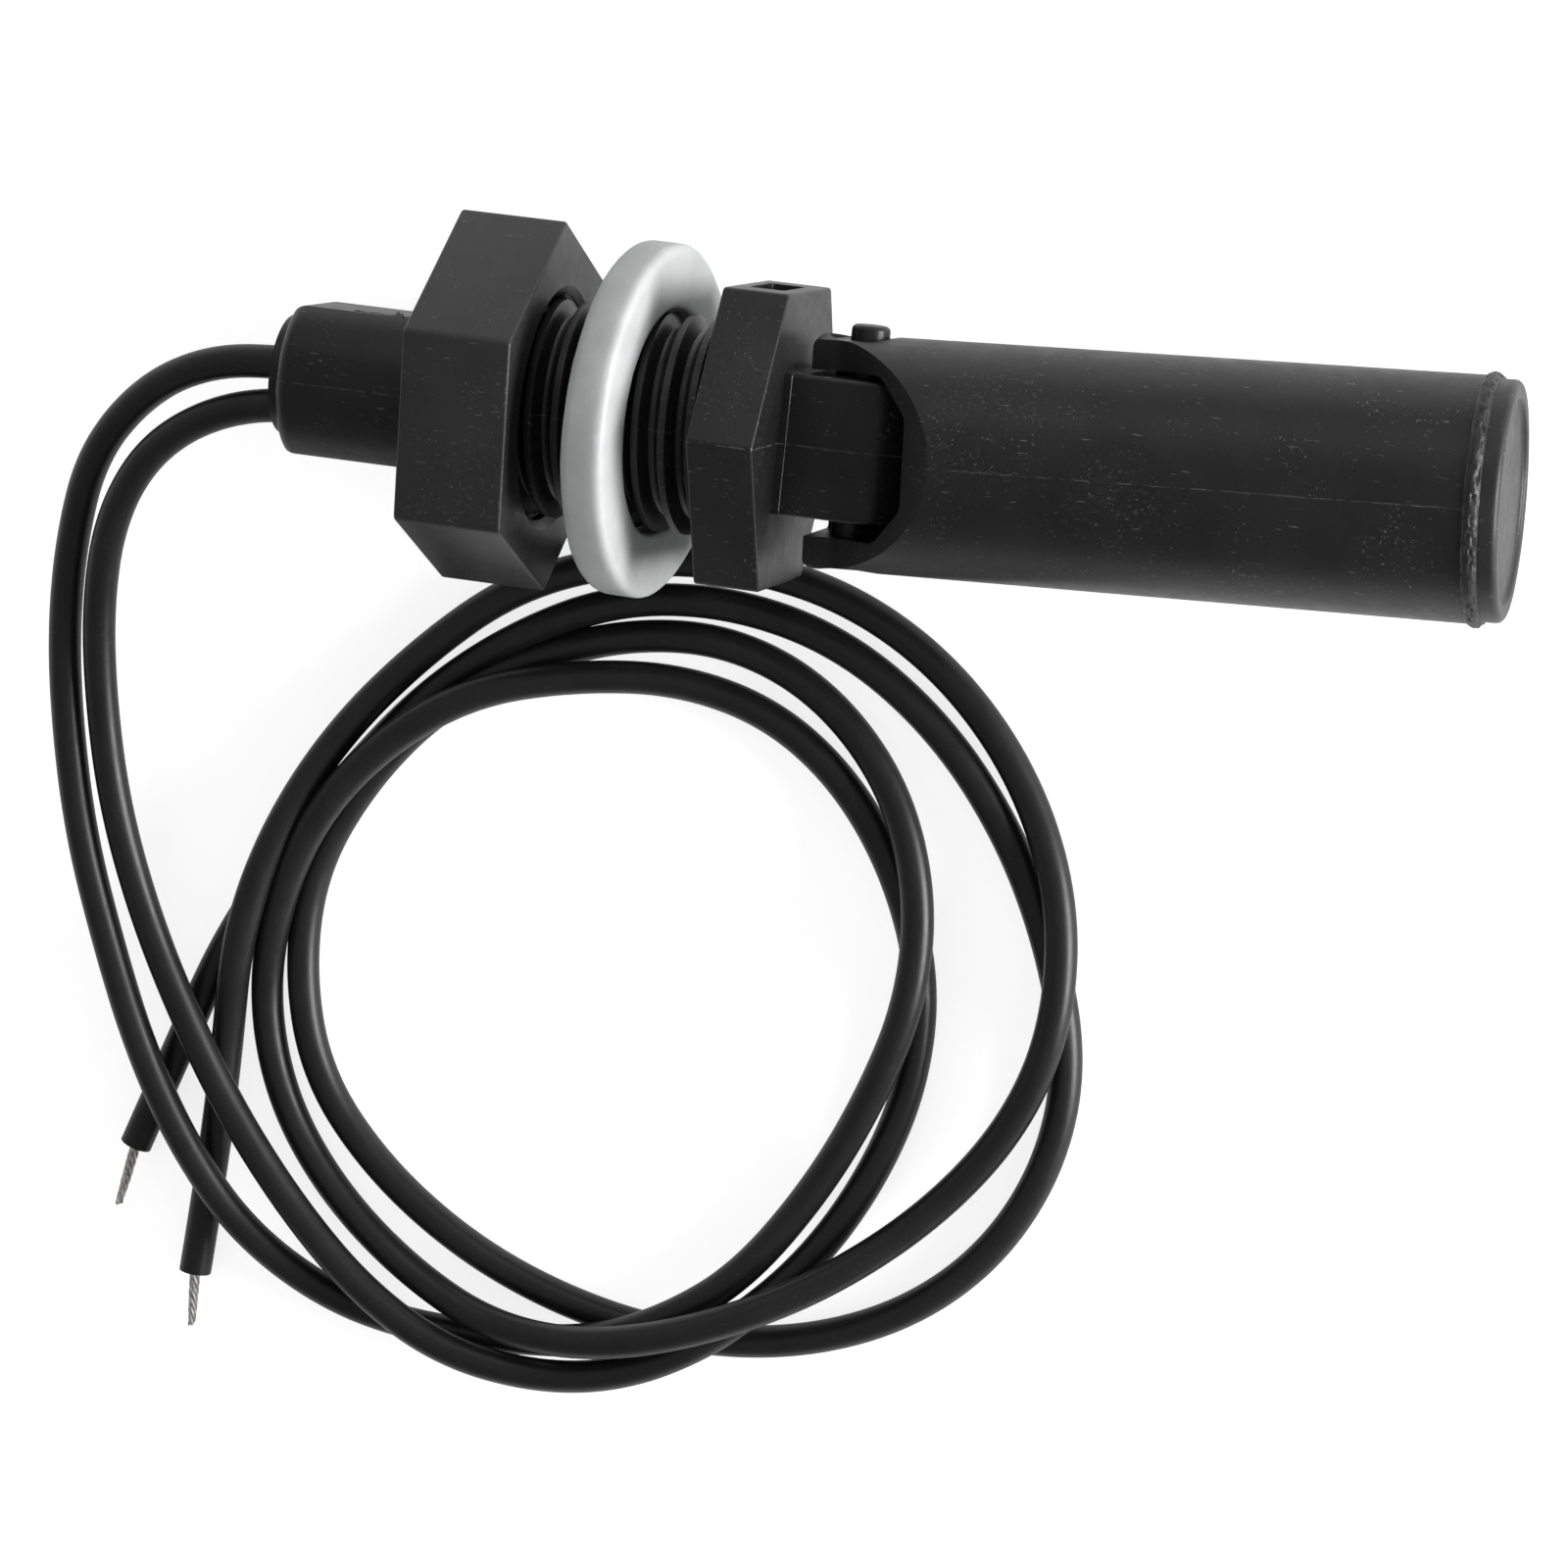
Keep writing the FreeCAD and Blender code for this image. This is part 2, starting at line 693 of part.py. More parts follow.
def blade(name, start, length, z):
    """Flat reed blade that runs along +X."""
    strip = doc.addObject("Part::Box", name)
    bind(strip, Length=length, Width=s.blade_width, Height=s.blade_thickness)
    place(strip, start, reed_y - s.blade_width / 2, z)
    return strip


blade_length = s.glass_length / 2 - s.glass_seal + s.blade_overlap / 2


def make_reed_near():
    """Blade nearer the leads, drawn down from a round leg."""
    inner = glass_start + s.glass_seal
    wire = rod("near_leg", leg, inner + s.leg_into_blade - joint_start, joint_start, reed_y, reed_z)
    strip = blade("near_blade", inner, blade_length, reed_z + s.blade_gap / 2)
    return joined("reed_near", wire, strip)


def make_reed_far():
    """Blade nearer the hinge, whose leg bends round and comes back past the glass."""
    inner = glass_end - s.glass_seal
    wire = rod("far_leg", leg, turn_x - inner + s.leg_into_blade, inner - s.leg_into_blade,
               reed_y, reed_z)
    strip = blade("far_blade", inner - blade_length, blade_length,
                  reed_z - s.blade_gap / 2 - s.blade_thickness)
    turn = doc.addObject("Part::Torus", "leg_turn")
    bind(turn, Radius1=s.leg_return / 2, Radius2=leg)
    turn.Angle3 = 180
    place(turn, turn_x, reed_y - s.leg_return / 2, reed_z, Rotation(Vector(0, 0, 1), -90))
    back = rod("return_leg", leg, turn_x - joint_start, joint_start, return_y, reed_z)
    return joined("reed_far", wire, strip, turn, back)


def make_return_sleeve():
    return tube("return_sleeve", leg + s.leg_play, leg + s.leg_play + s.sleeve_wall,
                s.sleeve_length, turn_x - s.sleeve_length, return_y, reed_z)


def make_strand(name, route):
    """The stripped inner end of a conductor, straight out of the insulation."""
    return rod(name, s.strand_diameter / 2, s.strand_length, *route[0])


def joint_centre(leg_y, route):
    """The middle of a joint, between the leg and the strand that lie in it."""
    return (leg_y + route[0][1]) / 2, (reed_z + route[0][2]) / 2


def make_solder(name, leg_y, route):
    y, z = joint_centre(leg_y, route)
    blob = rod(name + "_blob", s.solder_diameter / 2, s.solder_length, joint_start, y, z)
    leg_hole = rod(name + "_leg_hole", leg, s.solder_length, joint_start, leg_y, reed_z)
    strand_hole = rod(name + "_strand_hole", s.strand_diameter / 2, s.solder_length,
                      joint_start, route[0][1], route[0][2])
    return cut(name, blob, leg_hole, strand_hole)


def make_shrink(name, leg_y, route):
    y, z = joint_centre(leg_y, route)
    bore = s.solder_diameter / 2 + s.shrink_play
    start = joint_start - (s.shrink_length - s.solder_length) / 4
    return tube(name, bore, bore + s.shrink_wall, s.shrink_length, start, y, z)


def tangent_path(route):
    """Straight runs joined by arcs as large as the runs allow, and the arcs' radii."""
    points = [Vector(*point) for point in route]
    edges = []
    radii = []
    start = points[0]
    for before, here, after in zip(points, points[1:], points[2:]):
        back = before - here
        ahead = after - here
        reach = ARC_SHARE * min(back.Length, ahead.Length)
        half_turn = (math.pi - back.getAngle(ahead)) / 2
        back.normalize()
        ahead.normalize()
        radius = reach / math.tan(half_turn)
        inward = back + ahead
        inward.normalize()
        centre = here + inward * (radius / math.cos(half_turn))
        arc_start = here + back * reach
        arc_end = here + ahead * reach
        edges.append(Part.LineSegment(start, arc_start).toShape())
        edges.append(Part.Arc(arc_start, centre - inward * radius, arc_end).toShape())
        radii.append(radius)
        start = arc_end
    edges.append(Part.LineSegment(start, points[-1]).toShape())
    return Part.Wire(edges), radii


def make_lead(name, route):
    """Insulated lead: a round tube along its route."""
    path, radii = tangent_path(route)
    section = Part.Wire(Part.makeCircle(s.lead_diameter.value / 2, Vector(*route[0]), Vector(1, 0, 0)))
    lead = doc.addObject("Part::Feature", name)
    lead.Shape = path.makePipeShell([section], True, False)
    expected = math.pi * s.lead_diameter.value ** 2 / 4 * path.Length
    print("%s: %.1f mm long, tightest bend %.1f mm, volume %.4f of section times length"
          % (name, path.Length, min(radii), lead.Shape.Volume / expected))
    return lead


def make_tip(name, route, aim, lead):
    """Bare end of a conductor, out of the end of its insulation."""
    strand = doc.addObject("Part::Cylinder", name + "_strand")
    bind(strand, Radius=s.tip_diameter / 2, Height=s.tip_length)
    turn = Rotation(Vector(0, 0, 1), Vector(*aim))
    back = Vector(*aim).normalize() * s.tip_diameter.value
    strand.Placement = Placement(Vector(*route[-1]) - back, turn)
    return cut(name, strand, lead)


def make_resin(inner_pieces):
    """Potting resin in the boss and the channel, with room for all that it holds."""
    start = -boss_end + s.resin_inset
    fill = joined(
        "resin_fill",
        rod("cavity_fill", s.cavity_bore / 2, s.cavity_depth - s.resin_inset, start),
        rod("channel_fill", s.channel_bore / 2, channel_far - start, start),
    )
    sleeve = leg + s.leg_play + s.sleeve_wall
    shrink = s.solder_diameter / 2 + s.shrink_play + s.shrink_wall
    shrink_start = joint_start - (s.shrink_length - s.solder_length) / 4
    room = [
        rod("glass_room", s.glass_diameter / 2, s.glass_length, glass_start, reed_y, reed_z),
        rod("sleeve_room", sleeve, s.sleeve_length, turn_x - s.sleeve_length, return_y, reed_z),
    ]
    for name, leg_y, route in (("a", reed_y, ROUTE_A), ("b", return_y, ROUTE_B)):
        y, z = joint_centre(leg_y, route)
        room.append(rod("shrink_room_" + name, shrink, s.shrink_length, shrink_start, y, z))
    return cut("potting_resin", fill, *room, *inner_pieces)


def make_reed_switch():
    """The reed switch with its joints, sleeves, leads and the resin round them."""
    legs = [make_reed_near(), make_reed_far()]
    strands = [make_strand("strand_a", ROUTE_A), make_strand("strand_b", ROUTE_B)]
    leads = [make_lead("lead_a", ROUTE_A), make_lead("lead_b", ROUTE_B)]
    others = [
        make_reed_glass(),
        make_return_sleeve(),
        make_solder("solder_a", reed_y, ROUTE_A),
        make_solder("solder_b", return_y, ROUTE_B),
        make_shrink("shrink_a", reed_y, ROUTE_A),
        make_shrink("shrink_b", return_y, ROUTE_B),
        make_tip("tip_a", ROUTE_A, TIP_A_AIM, leads[0]),
        make_tip("tip_b", ROUTE_B, TIP_B_AIM, leads[1]),
        make_resin(legs + strands + leads),
    ]
    return legs + strands + leads + others


def check_model(sub_parts):
    """Stop if an object failed, a cut took nothing away or a sub-part is not one valid shape."""
    for item in doc.Objects:
        if "Invalid" in item.State or "Error" in item.State:
            raise RuntimeError("%s could not be made" % item.Label)
        if item.TypeId in ("PartDesign::Pocket", "PartDesign::Groove"):
            if item.Shape.Volume > item.BaseFeature.Shape.Volume - 0.001:
                raise RuntimeError("%s cuts nothing" % item.Label)
    for sub_part in sub_parts:
        if sub_part.Shape.isNull() or not sub_part.Shape.isValid():
            raise RuntimeError("%s has no valid shape" % sub_part.Label)


def write_parts(sub_parts):
    os.makedirs("parts", exist_ok=True)
    for sub_part in sub_parts:
        sub_part.Shape.exportStep("parts/%s.step" % sub_part.Label)


def main():
    sub_parts = [
        make_sensor_body(),
        make_nut(),
        make_gasket(),
        make_float_shell(),
        make_float_cap(),
        make_magnet(),
    ]
    sub_parts += make_reed_switch()
    doc.recompute()
    check_model(sub_parts)
    for sub_part in sub_parts:
        solids = len(sub_part.Shape.Solids)
        print("%s: %d solid, %.1f mm3" % (sub_part.Label, solids, sub_part.Shape.Volume))
    write_parts(sub_parts)


main()
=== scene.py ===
import bpy
import bmesh
import math
from mathutils import Matrix, Vector, noise


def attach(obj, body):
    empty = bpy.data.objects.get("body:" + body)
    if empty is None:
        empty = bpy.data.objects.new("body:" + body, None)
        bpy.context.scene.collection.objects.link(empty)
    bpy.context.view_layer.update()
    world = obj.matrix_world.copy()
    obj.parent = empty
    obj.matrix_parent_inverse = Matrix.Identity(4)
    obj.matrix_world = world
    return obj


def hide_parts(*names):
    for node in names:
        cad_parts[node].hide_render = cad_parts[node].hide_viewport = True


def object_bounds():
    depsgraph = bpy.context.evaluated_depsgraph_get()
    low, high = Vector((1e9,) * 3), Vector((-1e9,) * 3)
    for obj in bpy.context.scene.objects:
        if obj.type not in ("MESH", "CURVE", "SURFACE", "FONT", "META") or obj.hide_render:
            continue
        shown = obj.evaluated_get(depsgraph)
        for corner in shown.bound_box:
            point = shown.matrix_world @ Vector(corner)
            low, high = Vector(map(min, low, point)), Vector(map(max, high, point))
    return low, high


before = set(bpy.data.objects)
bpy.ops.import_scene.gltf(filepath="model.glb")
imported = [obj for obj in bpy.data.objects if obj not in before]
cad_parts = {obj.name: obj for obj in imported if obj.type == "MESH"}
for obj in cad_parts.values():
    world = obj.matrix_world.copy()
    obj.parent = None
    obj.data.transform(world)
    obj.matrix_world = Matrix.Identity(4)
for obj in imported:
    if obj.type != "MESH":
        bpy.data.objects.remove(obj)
cad_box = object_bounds()
MM = 0.001

# ---------------------------------------------------------------------------
# Camera: stands over the switch, a little beyond the float, as over a bench.
# It looks back along the thread, so that the float's cap and the faces of the
# nut and flange show.

LENS_MM = 123.75
SENSOR_MM = 36.0
CAMERA_PLACE = Vector((98.5, 36.8, 377.1)) * MM
NEAREST_SEEN = 0.01
FARTHEST_SEEN = 10
CAMERA_TILT_X = math.radians(-9.07)
CAMERA_TILT_Y = math.radians(13.68)
CAMERA_ROLL = math.radians(5.97)

camera_data = bpy.data.cameras.new("bench_camera")
camera_data.lens = LENS_MM
camera_data.sensor_width = SENSOR_MM
camera_data.clip_start = NEAREST_SEEN
camera_data.clip_end = FARTHEST_SEEN
camera = bpy.data.objects.new("bench_camera", camera_data)
bpy.context.scene.collection.objects.link(camera)
camera.matrix_world = (
    Matrix.Translation(CAMERA_PLACE)
    @ Matrix.Rotation(CAMERA_TILT_Y, 4, "Y")
    @ Matrix.Rotation(CAMERA_TILT_X, 4, "X")
    @ Matrix.Rotation(CAMERA_ROLL, 4, "Z")
)
bpy.context.scene.camera = camera
bpy.context.scene.view_settings.view_transform = "Standard"

# ---------------------------------------------------------------------------
# Leads: two lengths of hook-up wire, stranded copper in an extruded black skin
# with a satin surface. They come out of the resin in the boss, make a small
# loop and a larger one round it, and end side by side, cut square.

LEAD_DIAMETER = 2.5 * MM
LEAD_ROUTES = {
    "lead_a": [
        (-28.0, 0.9, 0.0), (-34.2, 0.9, 0.0), (-40.4, 0.2, -0.6), (-45.9, -2.7, -2.2),
        (-50.4, -8.1, -4.0), (-52.2, -15.1, -5.6), (-52.7, -22.7, -6.8), (-52.0, -30.6, -7.8),
        (-50.5, -38.6, -8.6), (-47.7, -46.7, -9.0), (-44.3, -54.2, -8.6), (-40.1, -61.3, -8.6),
        (-35.0, -67.6, -9.6), (-28.2, -71.9, -11.0), (-21.0, -73.5, -11.75), (-13.0, -73.1, -11.75),
        (-6.0, -71.6, -9.4), (-0.5, -69.0, -8.9), (5.0, -64.8, -9.6), (9.8, -57.5, -10.9),
        (13.6, -49.5, -9.4), (16.0, -41.5, -8.9), (15.7, -33.4, -9.6), (12.3, -25.6, -11.0),
        (6.0, -19.6, -11.75), (-1.5, -16.8, -11.75), (-9.5, -17.4, -11.75), (-17.0, -20.4, -11.75),
        (-23.8, -24.8, -11.75), (-29.0, -31.1, -11.75), (-32.6, -38.6, -11.75),
        (-33.0, -46.7, -11.75), (-30.9, -54.7, -11.75), (-25.6, -61.0, -11.75),
        (-18.4, -66.0, -11.75), (-10.4, -69.2, -11.75),
        (-1.5, -70.8, -11.75), (8.0, -70.1, -11.75), (16.6, -66.8, -11.75), (23.1, -61.2, -11.75),
        (27.1, -53.7, -11.75), (28.1, -45.5, -11.75), (25.8, -37.0, -11.75), (21.6, -28.6, -11.75),
        (15.4, -21.2, -11.75), (7.4, -15.9, -11.75), (-1.5, -13.9, -11.75), (-10.4, -14.8, -11.75),
        (-18.1, -18.7, -11.75), (-24.8, -24.2, -11.75), (-30.4, -31.3, -11.75),
        (-35.2, -38.4, -11.75), (-39.2, -45.7, -11.75), (-42.1, -54.0, -11.75),
        (-45.1, -62.7, -11.75),
    ],
    "lead_b": [
        (-28.0, -2.1, 0.0), (-34.2, -2.1, 0.0), (-40.2, -3.7, -0.5), (-45.2, -7.3, -1.7),
        (-48.4, -12.9, -3.5), (-49.6, -20.0, -5.5), (-49.3, -27.7, -7.2), (-47.9, -35.7, -8.3),
        (-45.0, -43.7, -8.9), (-41.0, -51.1, -8.8), (-36.5, -58.2, -8.9), (-31.0, -65.0, -9.2),
        (-24.8, -70.6, -9.1), (-17.8, -74.3, -9.1), (-9.8, -75.3, -9.8), (-2.5, -73.5, -9.3),
        (4.2, -69.2, -8.9), (9.8, -63.4, -10.8), (13.8, -56.2, -11.75), (16.2, -48.4, -11.75),
        (16.2, -40.2, -11.75), (13.2, -32.4, -11.75), (8.4, -26.0, -11.75), (2.2, -21.8, -11.75),
        (-5.2, -20.2, -11.4), (-13.0, -20.9, -9.8), (-20.4, -23.0, -9.0), (-26.8, -27.6, -8.9),
        (-31.7, -33.7, -8.9), (-34.6, -41.0, -9.9), (-35.7, -49.2, -11.6), (-33.5, -57.2, -11.75),
        (-28.6, -63.9, -11.75), (-21.8, -69.0, -11.2), (-13.8, -71.8, -8.9), (-5.0, -71.2, -6.4),
        (3.8, -68.2, -6.1), (12.0, -63.8, -8.0), (19.2, -57.6, -10.4), (24.6, -50.0, -10.0),
        (27.2, -41.8, -8.9), (26.5, -32.8, -9.8), (22.4, -24.4, -11.75), (16.0, -17.2, -11.75),
        (8.0, -12.6, -11.75), (-1.0, -10.9, -11.75), (-10.2, -11.7, -11.75), (-18.6, -14.9, -11.75),
        (-25.4, -20.8, -11.75), (-30.8, -27.6, -9.8), (-34.9, -35.6, -8.9), (-37.3, -44.2, -8.9),
        (-38.3, -53.8, -11.75), (-38.6, -62.9, -11.75), (-39.3, -72.0, -11.75),
    ],
}


def lead_curve(name, route):
    """A smooth round cord through its route's points."""
    curve = bpy.data.curves.new(name, "CURVE")
    curve.dimensions = "3D"
    curve.bevel_depth = LEAD_DIAMETER / 2
    curve.bevel_resolution = 8
    curve.resolution_u = 10
    curve.use_fill_caps = True
    spline = curve.splines.new("NURBS")
    spline.points.add(len(route) - 1)
    for point, place in zip(spline.points, route):
        point.co = (place[0] * MM, place[1] * MM, place[2] * MM, 1)
    spline.order_u = 3
    spline.use_endpoint_u = True
    lead = bpy.data.objects.new(name + "_skin", curve)
    bpy.context.scene.collection.objects.link(lead)
    return lead


def empty_material(name):
    """A material with its shader, and the place on the object that patterns follow."""
    material = bpy.data.materials.new(name)
    material.use_nodes = True
    tree = material.node_tree
    shader = tree.nodes["Principled BSDF"]
    place = tree.nodes.new("ShaderNodeTexCoord").outputs["Object"]
    return material, tree, shader, place


def calculated(tree, operation, first, second=0.5, third=0.5):
    """The result of a Math node whose inputs are numbers or other results."""
    node = tree.nodes.new("ShaderNodeMath")
    node.operation = operation
    for socket, value in zip(node.inputs, (first, second, third)):
        if isinstance(value, (int, float)):
            socket.default_value = value
        else:
            tree.links.new(value, socket)
    return node.outputs[0]


def cloudy(tree, place, size, detail, stretch=(1, 1, 1)):
    """Noise whose patches are about the given size in millimetres."""
    mapping = tree.nodes.new("ShaderNodeMapping")
    mapping.inputs["Scale"].default_value = stretch
    tree.links.new(place, mapping.inputs["Vector"])
    texture = tree.nodes.new("ShaderNodeTexNoise")
    texture.inputs["Scale"].default_value = 1 / (size * MM)
    texture.inputs["Detail"].default_value = detail
    tree.links.new(mapping.outputs[0], texture.inputs["Vector"])
    return texture.outputs["Fac"]


def stepped(tree, value, low, high):
    """0 below the low number, 1 above the high one, and smooth between."""
    node = tree.nodes.new("ShaderNodeMapRange")
    node.interpolation_type = "SMOOTHSTEP"
    tree.links.new(value, node.inputs["Value"])
    node.inputs["From Min"].default_value = low
    node.inputs["From Max"].default_value = high
    return node.outputs["Result"]


def coloured(tree, factor, low, high):
    """A colour between two others."""
    node = tree.nodes.new("ShaderNodeMix")
    node.data_type = "RGBA"
    tree.links.new(factor, node.inputs["Factor"])
    node.inputs["A"].default_value = (*low, 1)
    node.inputs["B"].default_value = (*high, 1)
    return node.outputs["Result"]


def bumped(tree, shader, height, depth):
    """Raise the surface by a height pattern of the given depth in millimetres."""
    bump = tree.nodes.new("ShaderNodeBump")
    bump.inputs["Strength"].default_value = 1.0
    bump.inputs["Distance"].default_value = depth * MM
    tree.links.new(height, bump.inputs["Height"])
    tree.links.new(bump.outputs["Normal"], shader.inputs["Normal"])


SEAM_WANDER = 0.12 * MM


def seam_line(tree, place, plane, half_width):
    """1 close to a plane, given by its normal and offset, broken up along its length."""
    across = tree.nodes.new("ShaderNodeVectorMath")
    across.operation = "DOT_PRODUCT"
    tree.links.new(place, across.inputs[0])
    across.inputs[1].default_value = plane[0]
    offset = calculated(tree, "SUBTRACT", across.outputs["Value"], plane[1] * MM)
    wander = calculated(tree, "SUBTRACT", cloudy(tree, place, 0.6, 2), 0.5)
    offset = calculated(tree, "ADD", offset, calculated(tree, "MULTIPLY", wander, SEAM_WANDER))
    distance = calculated(tree, "ABSOLUTE", offset)
    off_line = stepped(tree, distance, half_width * MM * 0.5, half_width * MM)
    near = calculated(tree, "SUBTRACT", 1.0, off_line)
    broken = stepped(tree, cloudy(tree, place, 0.9, 3), 0.38, 0.62)
    return calculated(tree, "MULTIPLY", near, broken)


def close_to(tree, place, centre, reach):
    """1 at a place on the object, fading to 0 at the given reach in millimetres."""
    away = tree.nodes.new("ShaderNodeVectorMath")
    away.operation = "DISTANCE"
    tree.links.new(place, away.inputs[0])
    away.inputs[1].default_value = Vector(centre) * MM
    beyond = stepped(tree, away.outputs["Value"], reach * MM * 0.55, reach * MM)
    return calculated(tree, "SUBTRACT", 1.0, beyond)


PALE_MARK = (0.22, 0.22, 0.215)
SEAM_SHOWING = 0.35
SCUFFED_DUST = 0.7
SHEEN_SPREAD = 0.22
MARK_HEIGHT = 1.5


def plastic(name, dark, light, roughness, grain, dust, seam=None, scuffs=(), rub_and_reflection=0.4):
    """Plastic: cloudy shade, fine grain, pale dust and scuffs, and a seam if moulded."""
    material, tree, shader, place = empty_material(name)
    shade = stepped(tree, cloudy(tree, place, 5.0, 4), 0.3, 0.7)
    base = coloured(tree, shade, (dark,) * 3, (light,) * 3)
    specks = stepped(tree, cloudy(tree, place, 0.24, 1), 0.66, 0.76)
    dusty = stepped(tree, cloudy(tree, place, 4.0, 2), 0.45, 0.66)
    # Scuffs: pale dust and rubbing specks round each centre, as strong as rub_and_reflection; the
    # cap's end patch, set stronger, is also painted reflection.
    for centre, reach in scuffs:
        near = close_to(tree, place, centre, reach)
        scuffed = calculated(tree, "MULTIPLY", near, SCUFFED_DUST)
        dusty = calculated(tree, "MAXIMUM", dusty, scuffed)
        fine_rub = stepped(tree, cloudy(tree, place, 0.34, 3), 0.54, 0.70)
        broad_rub = stepped(tree, cloudy(tree, place, 2.2, 3), 0.40, 0.68)
        rub_and_reflection_marks = calculated(tree, "MULTIPLY", near, fine_rub)
        rub_and_reflection_marks = calculated(tree, "MULTIPLY", rub_and_reflection_marks, broad_rub)
        rub_and_reflection_marks = calculated(tree, "MULTIPLY", rub_and_reflection_marks, rub_and_reflection)
        specks = calculated(tree, "MAXIMUM", specks, rub_and_reflection_marks)
    hairs = stepped(tree, cloudy(tree, place, 0.16, 1, (0.12, 1, 0.5)), 0.72, 0.80)
    marks = calculated(tree, "MULTIPLY", specks, dusty)
    marks = calculated(tree, "MAXIMUM", marks, hairs)
    marks = calculated(tree, "MULTIPLY", marks, dust)
    if seam:
        line = calculated(tree, "MULTIPLY", seam_line(tree, place, *seam), SEAM_SHOWING)
        marks = calculated(tree, "MAXIMUM", marks, line)
    marked = tree.nodes.new("ShaderNodeMix")
    marked.data_type = "RGBA"
    tree.links.new(marks, marked.inputs["Factor"])
    tree.links.new(base, marked.inputs["A"])
    marked.inputs["B"].default_value = (*PALE_MARK, 1)
    tree.links.new(marked.outputs["Result"], shader.inputs["Base Color"])
    sheen = calculated(tree, "MULTIPLY_ADD", cloudy(tree, place, 1.4, 4), SHEEN_SPREAD,
                       roughness - SHEEN_SPREAD / 2)
    tree.links.new(sheen, shader.inputs["Roughness"])
    raised = calculated(tree, "MULTIPLY", marks, MARK_HEIGHT)
    height = calculated(tree, "ADD", cloudy(tree, place, 0.10, 2), raised)
    bumped(tree, shader, height, grain)
    return material


wire_plastic = plastic("wire_plastic", 0.012, 0.017, 0.38, 0.003, 0.10)
for name, route in LEAD_ROUTES.items():
    lead = lead_curve(name, route)
    lead.data.materials.append(wire_plastic)
    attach(lead, "sensor")
    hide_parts(name)

# ---------------------------------------------------------------------------
# Conductor ends: seven tinned copper strands, stripped bare and twisted
# together by hand, each cut a little shorter or longer than the next.

STRAND_RADIUS = 0.15
STRANDS_AROUND = 6
TWIST_PITCH = 4.2
TIP_STEPS = 40
SHORTER_BY = 0.035
TIP_REACH = {"tip_a": (-1.0, -5.0, 0.0), "tip_b": (0.1, -4.45, 0.0)}
UP = Vector((0, 0, 1))


def solid_object(name, mesh_builder):
    """Turn a closed mesh built in millimetres into an object in metres."""
    bmesh.ops.recalc_face_normals(mesh_builder, faces=mesh_builder.faces)
    bmesh.ops.scale(mesh_builder, vec=(MM, MM, MM), verts=mesh_builder.verts)
    mesh = bpy.data.meshes.new(name)
    mesh_builder.to_mesh(mesh)
    mesh_builder.free()
    solid = bpy.data.objects.new(name, mesh)
    bpy.context.scene.collection.objects.link(solid)
    return solid


def finished(solid, material, body, slot, *nodes, sharp=32):
    """Give a piece its surface, its body and the CAD nodes that it stands for."""
    solid.data.shade_smooth()
    solid.data.set_sharp_from_angle(angle=math.radians(sharp))
    solid.data.materials.clear()
    solid.data.materials.append(material)
    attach(solid, body)
    if nodes:
        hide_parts(*nodes)
    return solid


def bridge(mesh_builder, rings):
    """Join each ring of points to the next with a band of faces."""
    for here, there in zip(rings, rings[1:]):
        for number in range(len(here)):
            after = (number + 1) % len(here)
            mesh_builder.faces.new((here[number], here[after], there[after], there[number]))


def closed_bar(mesh_builder, rings):
    """A bar through rings of points, with a face over each end."""
    bridge(mesh_builder, rings)
    mesh_builder.faces.new(rings[0])
    mesh_builder.faces.new(rings[-1])


def direction_at(path, step):
    """Which way a list of points runs at one of them."""
    return Vector(path[min(step + 1, len(path) - 1)]) - Vector(path[max(step - 1, 0)])


def add_strand(mesh_builder, path, radius, sides=10):
    """A round wire along a list of points, closed at both ends."""
    turns = [2 * math.pi * number / sides for number in range(sides)]
    rings = []
    for step, point in enumerate(path):
        ahead = direction_at(path, step)
        side = ahead.cross(UP).normalized()
        up = side.cross(ahead).normalized()
        ring = [point + (side * math.cos(turn) + up * math.sin(turn)) * radius for turn in turns]
        rings.append([mesh_builder.verts.new(place) for place in ring])
    closed_bar(mesh_builder, rings)


def twisted_tip(name, start, reach):
    """Six strands twisted round a seventh, which lie closer together towards the end."""
    mesh_builder = bmesh.new()
    along = Vector(reach).normalized()
    side = along.cross(UP).normalized()
    up = side.cross(along)
    for number in range(STRANDS_AROUND + 1):
        away = 0 if number == STRANDS_AROUND else STRAND_RADIUS * 1.9
        length = Vector(reach).length * (1 - SHORTER_BY * (number * 3 % 5))
        path = []
        for step in range(TIP_STEPS + 1):
            share = step / TIP_STEPS
            turn = 2 * math.pi * (length * share / TWIST_PITCH + number / STRANDS_AROUND)
            spread = away * (1 - 0.45 * share ** 2)
            path.append(Vector(start) + along * (length * share)
                        + (side * math.cos(turn) + up * math.sin(turn)) * spread)
        add_strand(mesh_builder, path, STRAND_RADIUS * 0.95)
    return solid_object(name + "_strands", mesh_builder)


def metal(name, dark, light, roughness, grain=0.004):
    """Bright or dull metal with a cloudy tone and fine drawn marks."""
    material, tree, shader, place = empty_material(name)
    tone = stepped(tree, cloudy(tree, place, 0.5, 4), 0.3, 0.7)
    tree.links.new(coloured(tree, tone, dark, light), shader.inputs["Base Color"])
    shader.inputs["Metallic"].default_value = 1.0
    rough = calculated(tree, "MULTIPLY_ADD", cloudy(tree, place, 0.25, 3), 0.2, roughness - 0.1)
    tree.links.new(rough, shader.inputs["Roughness"])
    bumped(tree, shader, cloudy(tree, place, 0.06, 2), grain)
    return material


tinned_copper = metal("tinned_copper", (0.42, 0.41, 0.39), (0.78, 0.77, 0.74), 0.32)
for name, reach in TIP_REACH.items():
    start = LEAD_ROUTES[name.replace("tip", "lead")][-1]
    finished(twisted_tip(name, start, reach), tinned_copper, "sensor", "tinned_copper", name)

# ---------------------------------------------------------------------------
# Sensor body: one moulding in glass-filled black plastic. It has the round
# boss with two flats that the leads come out of, the M16 thread, the hexagon
# flange, and the stem that carries the float's two hinge pins.

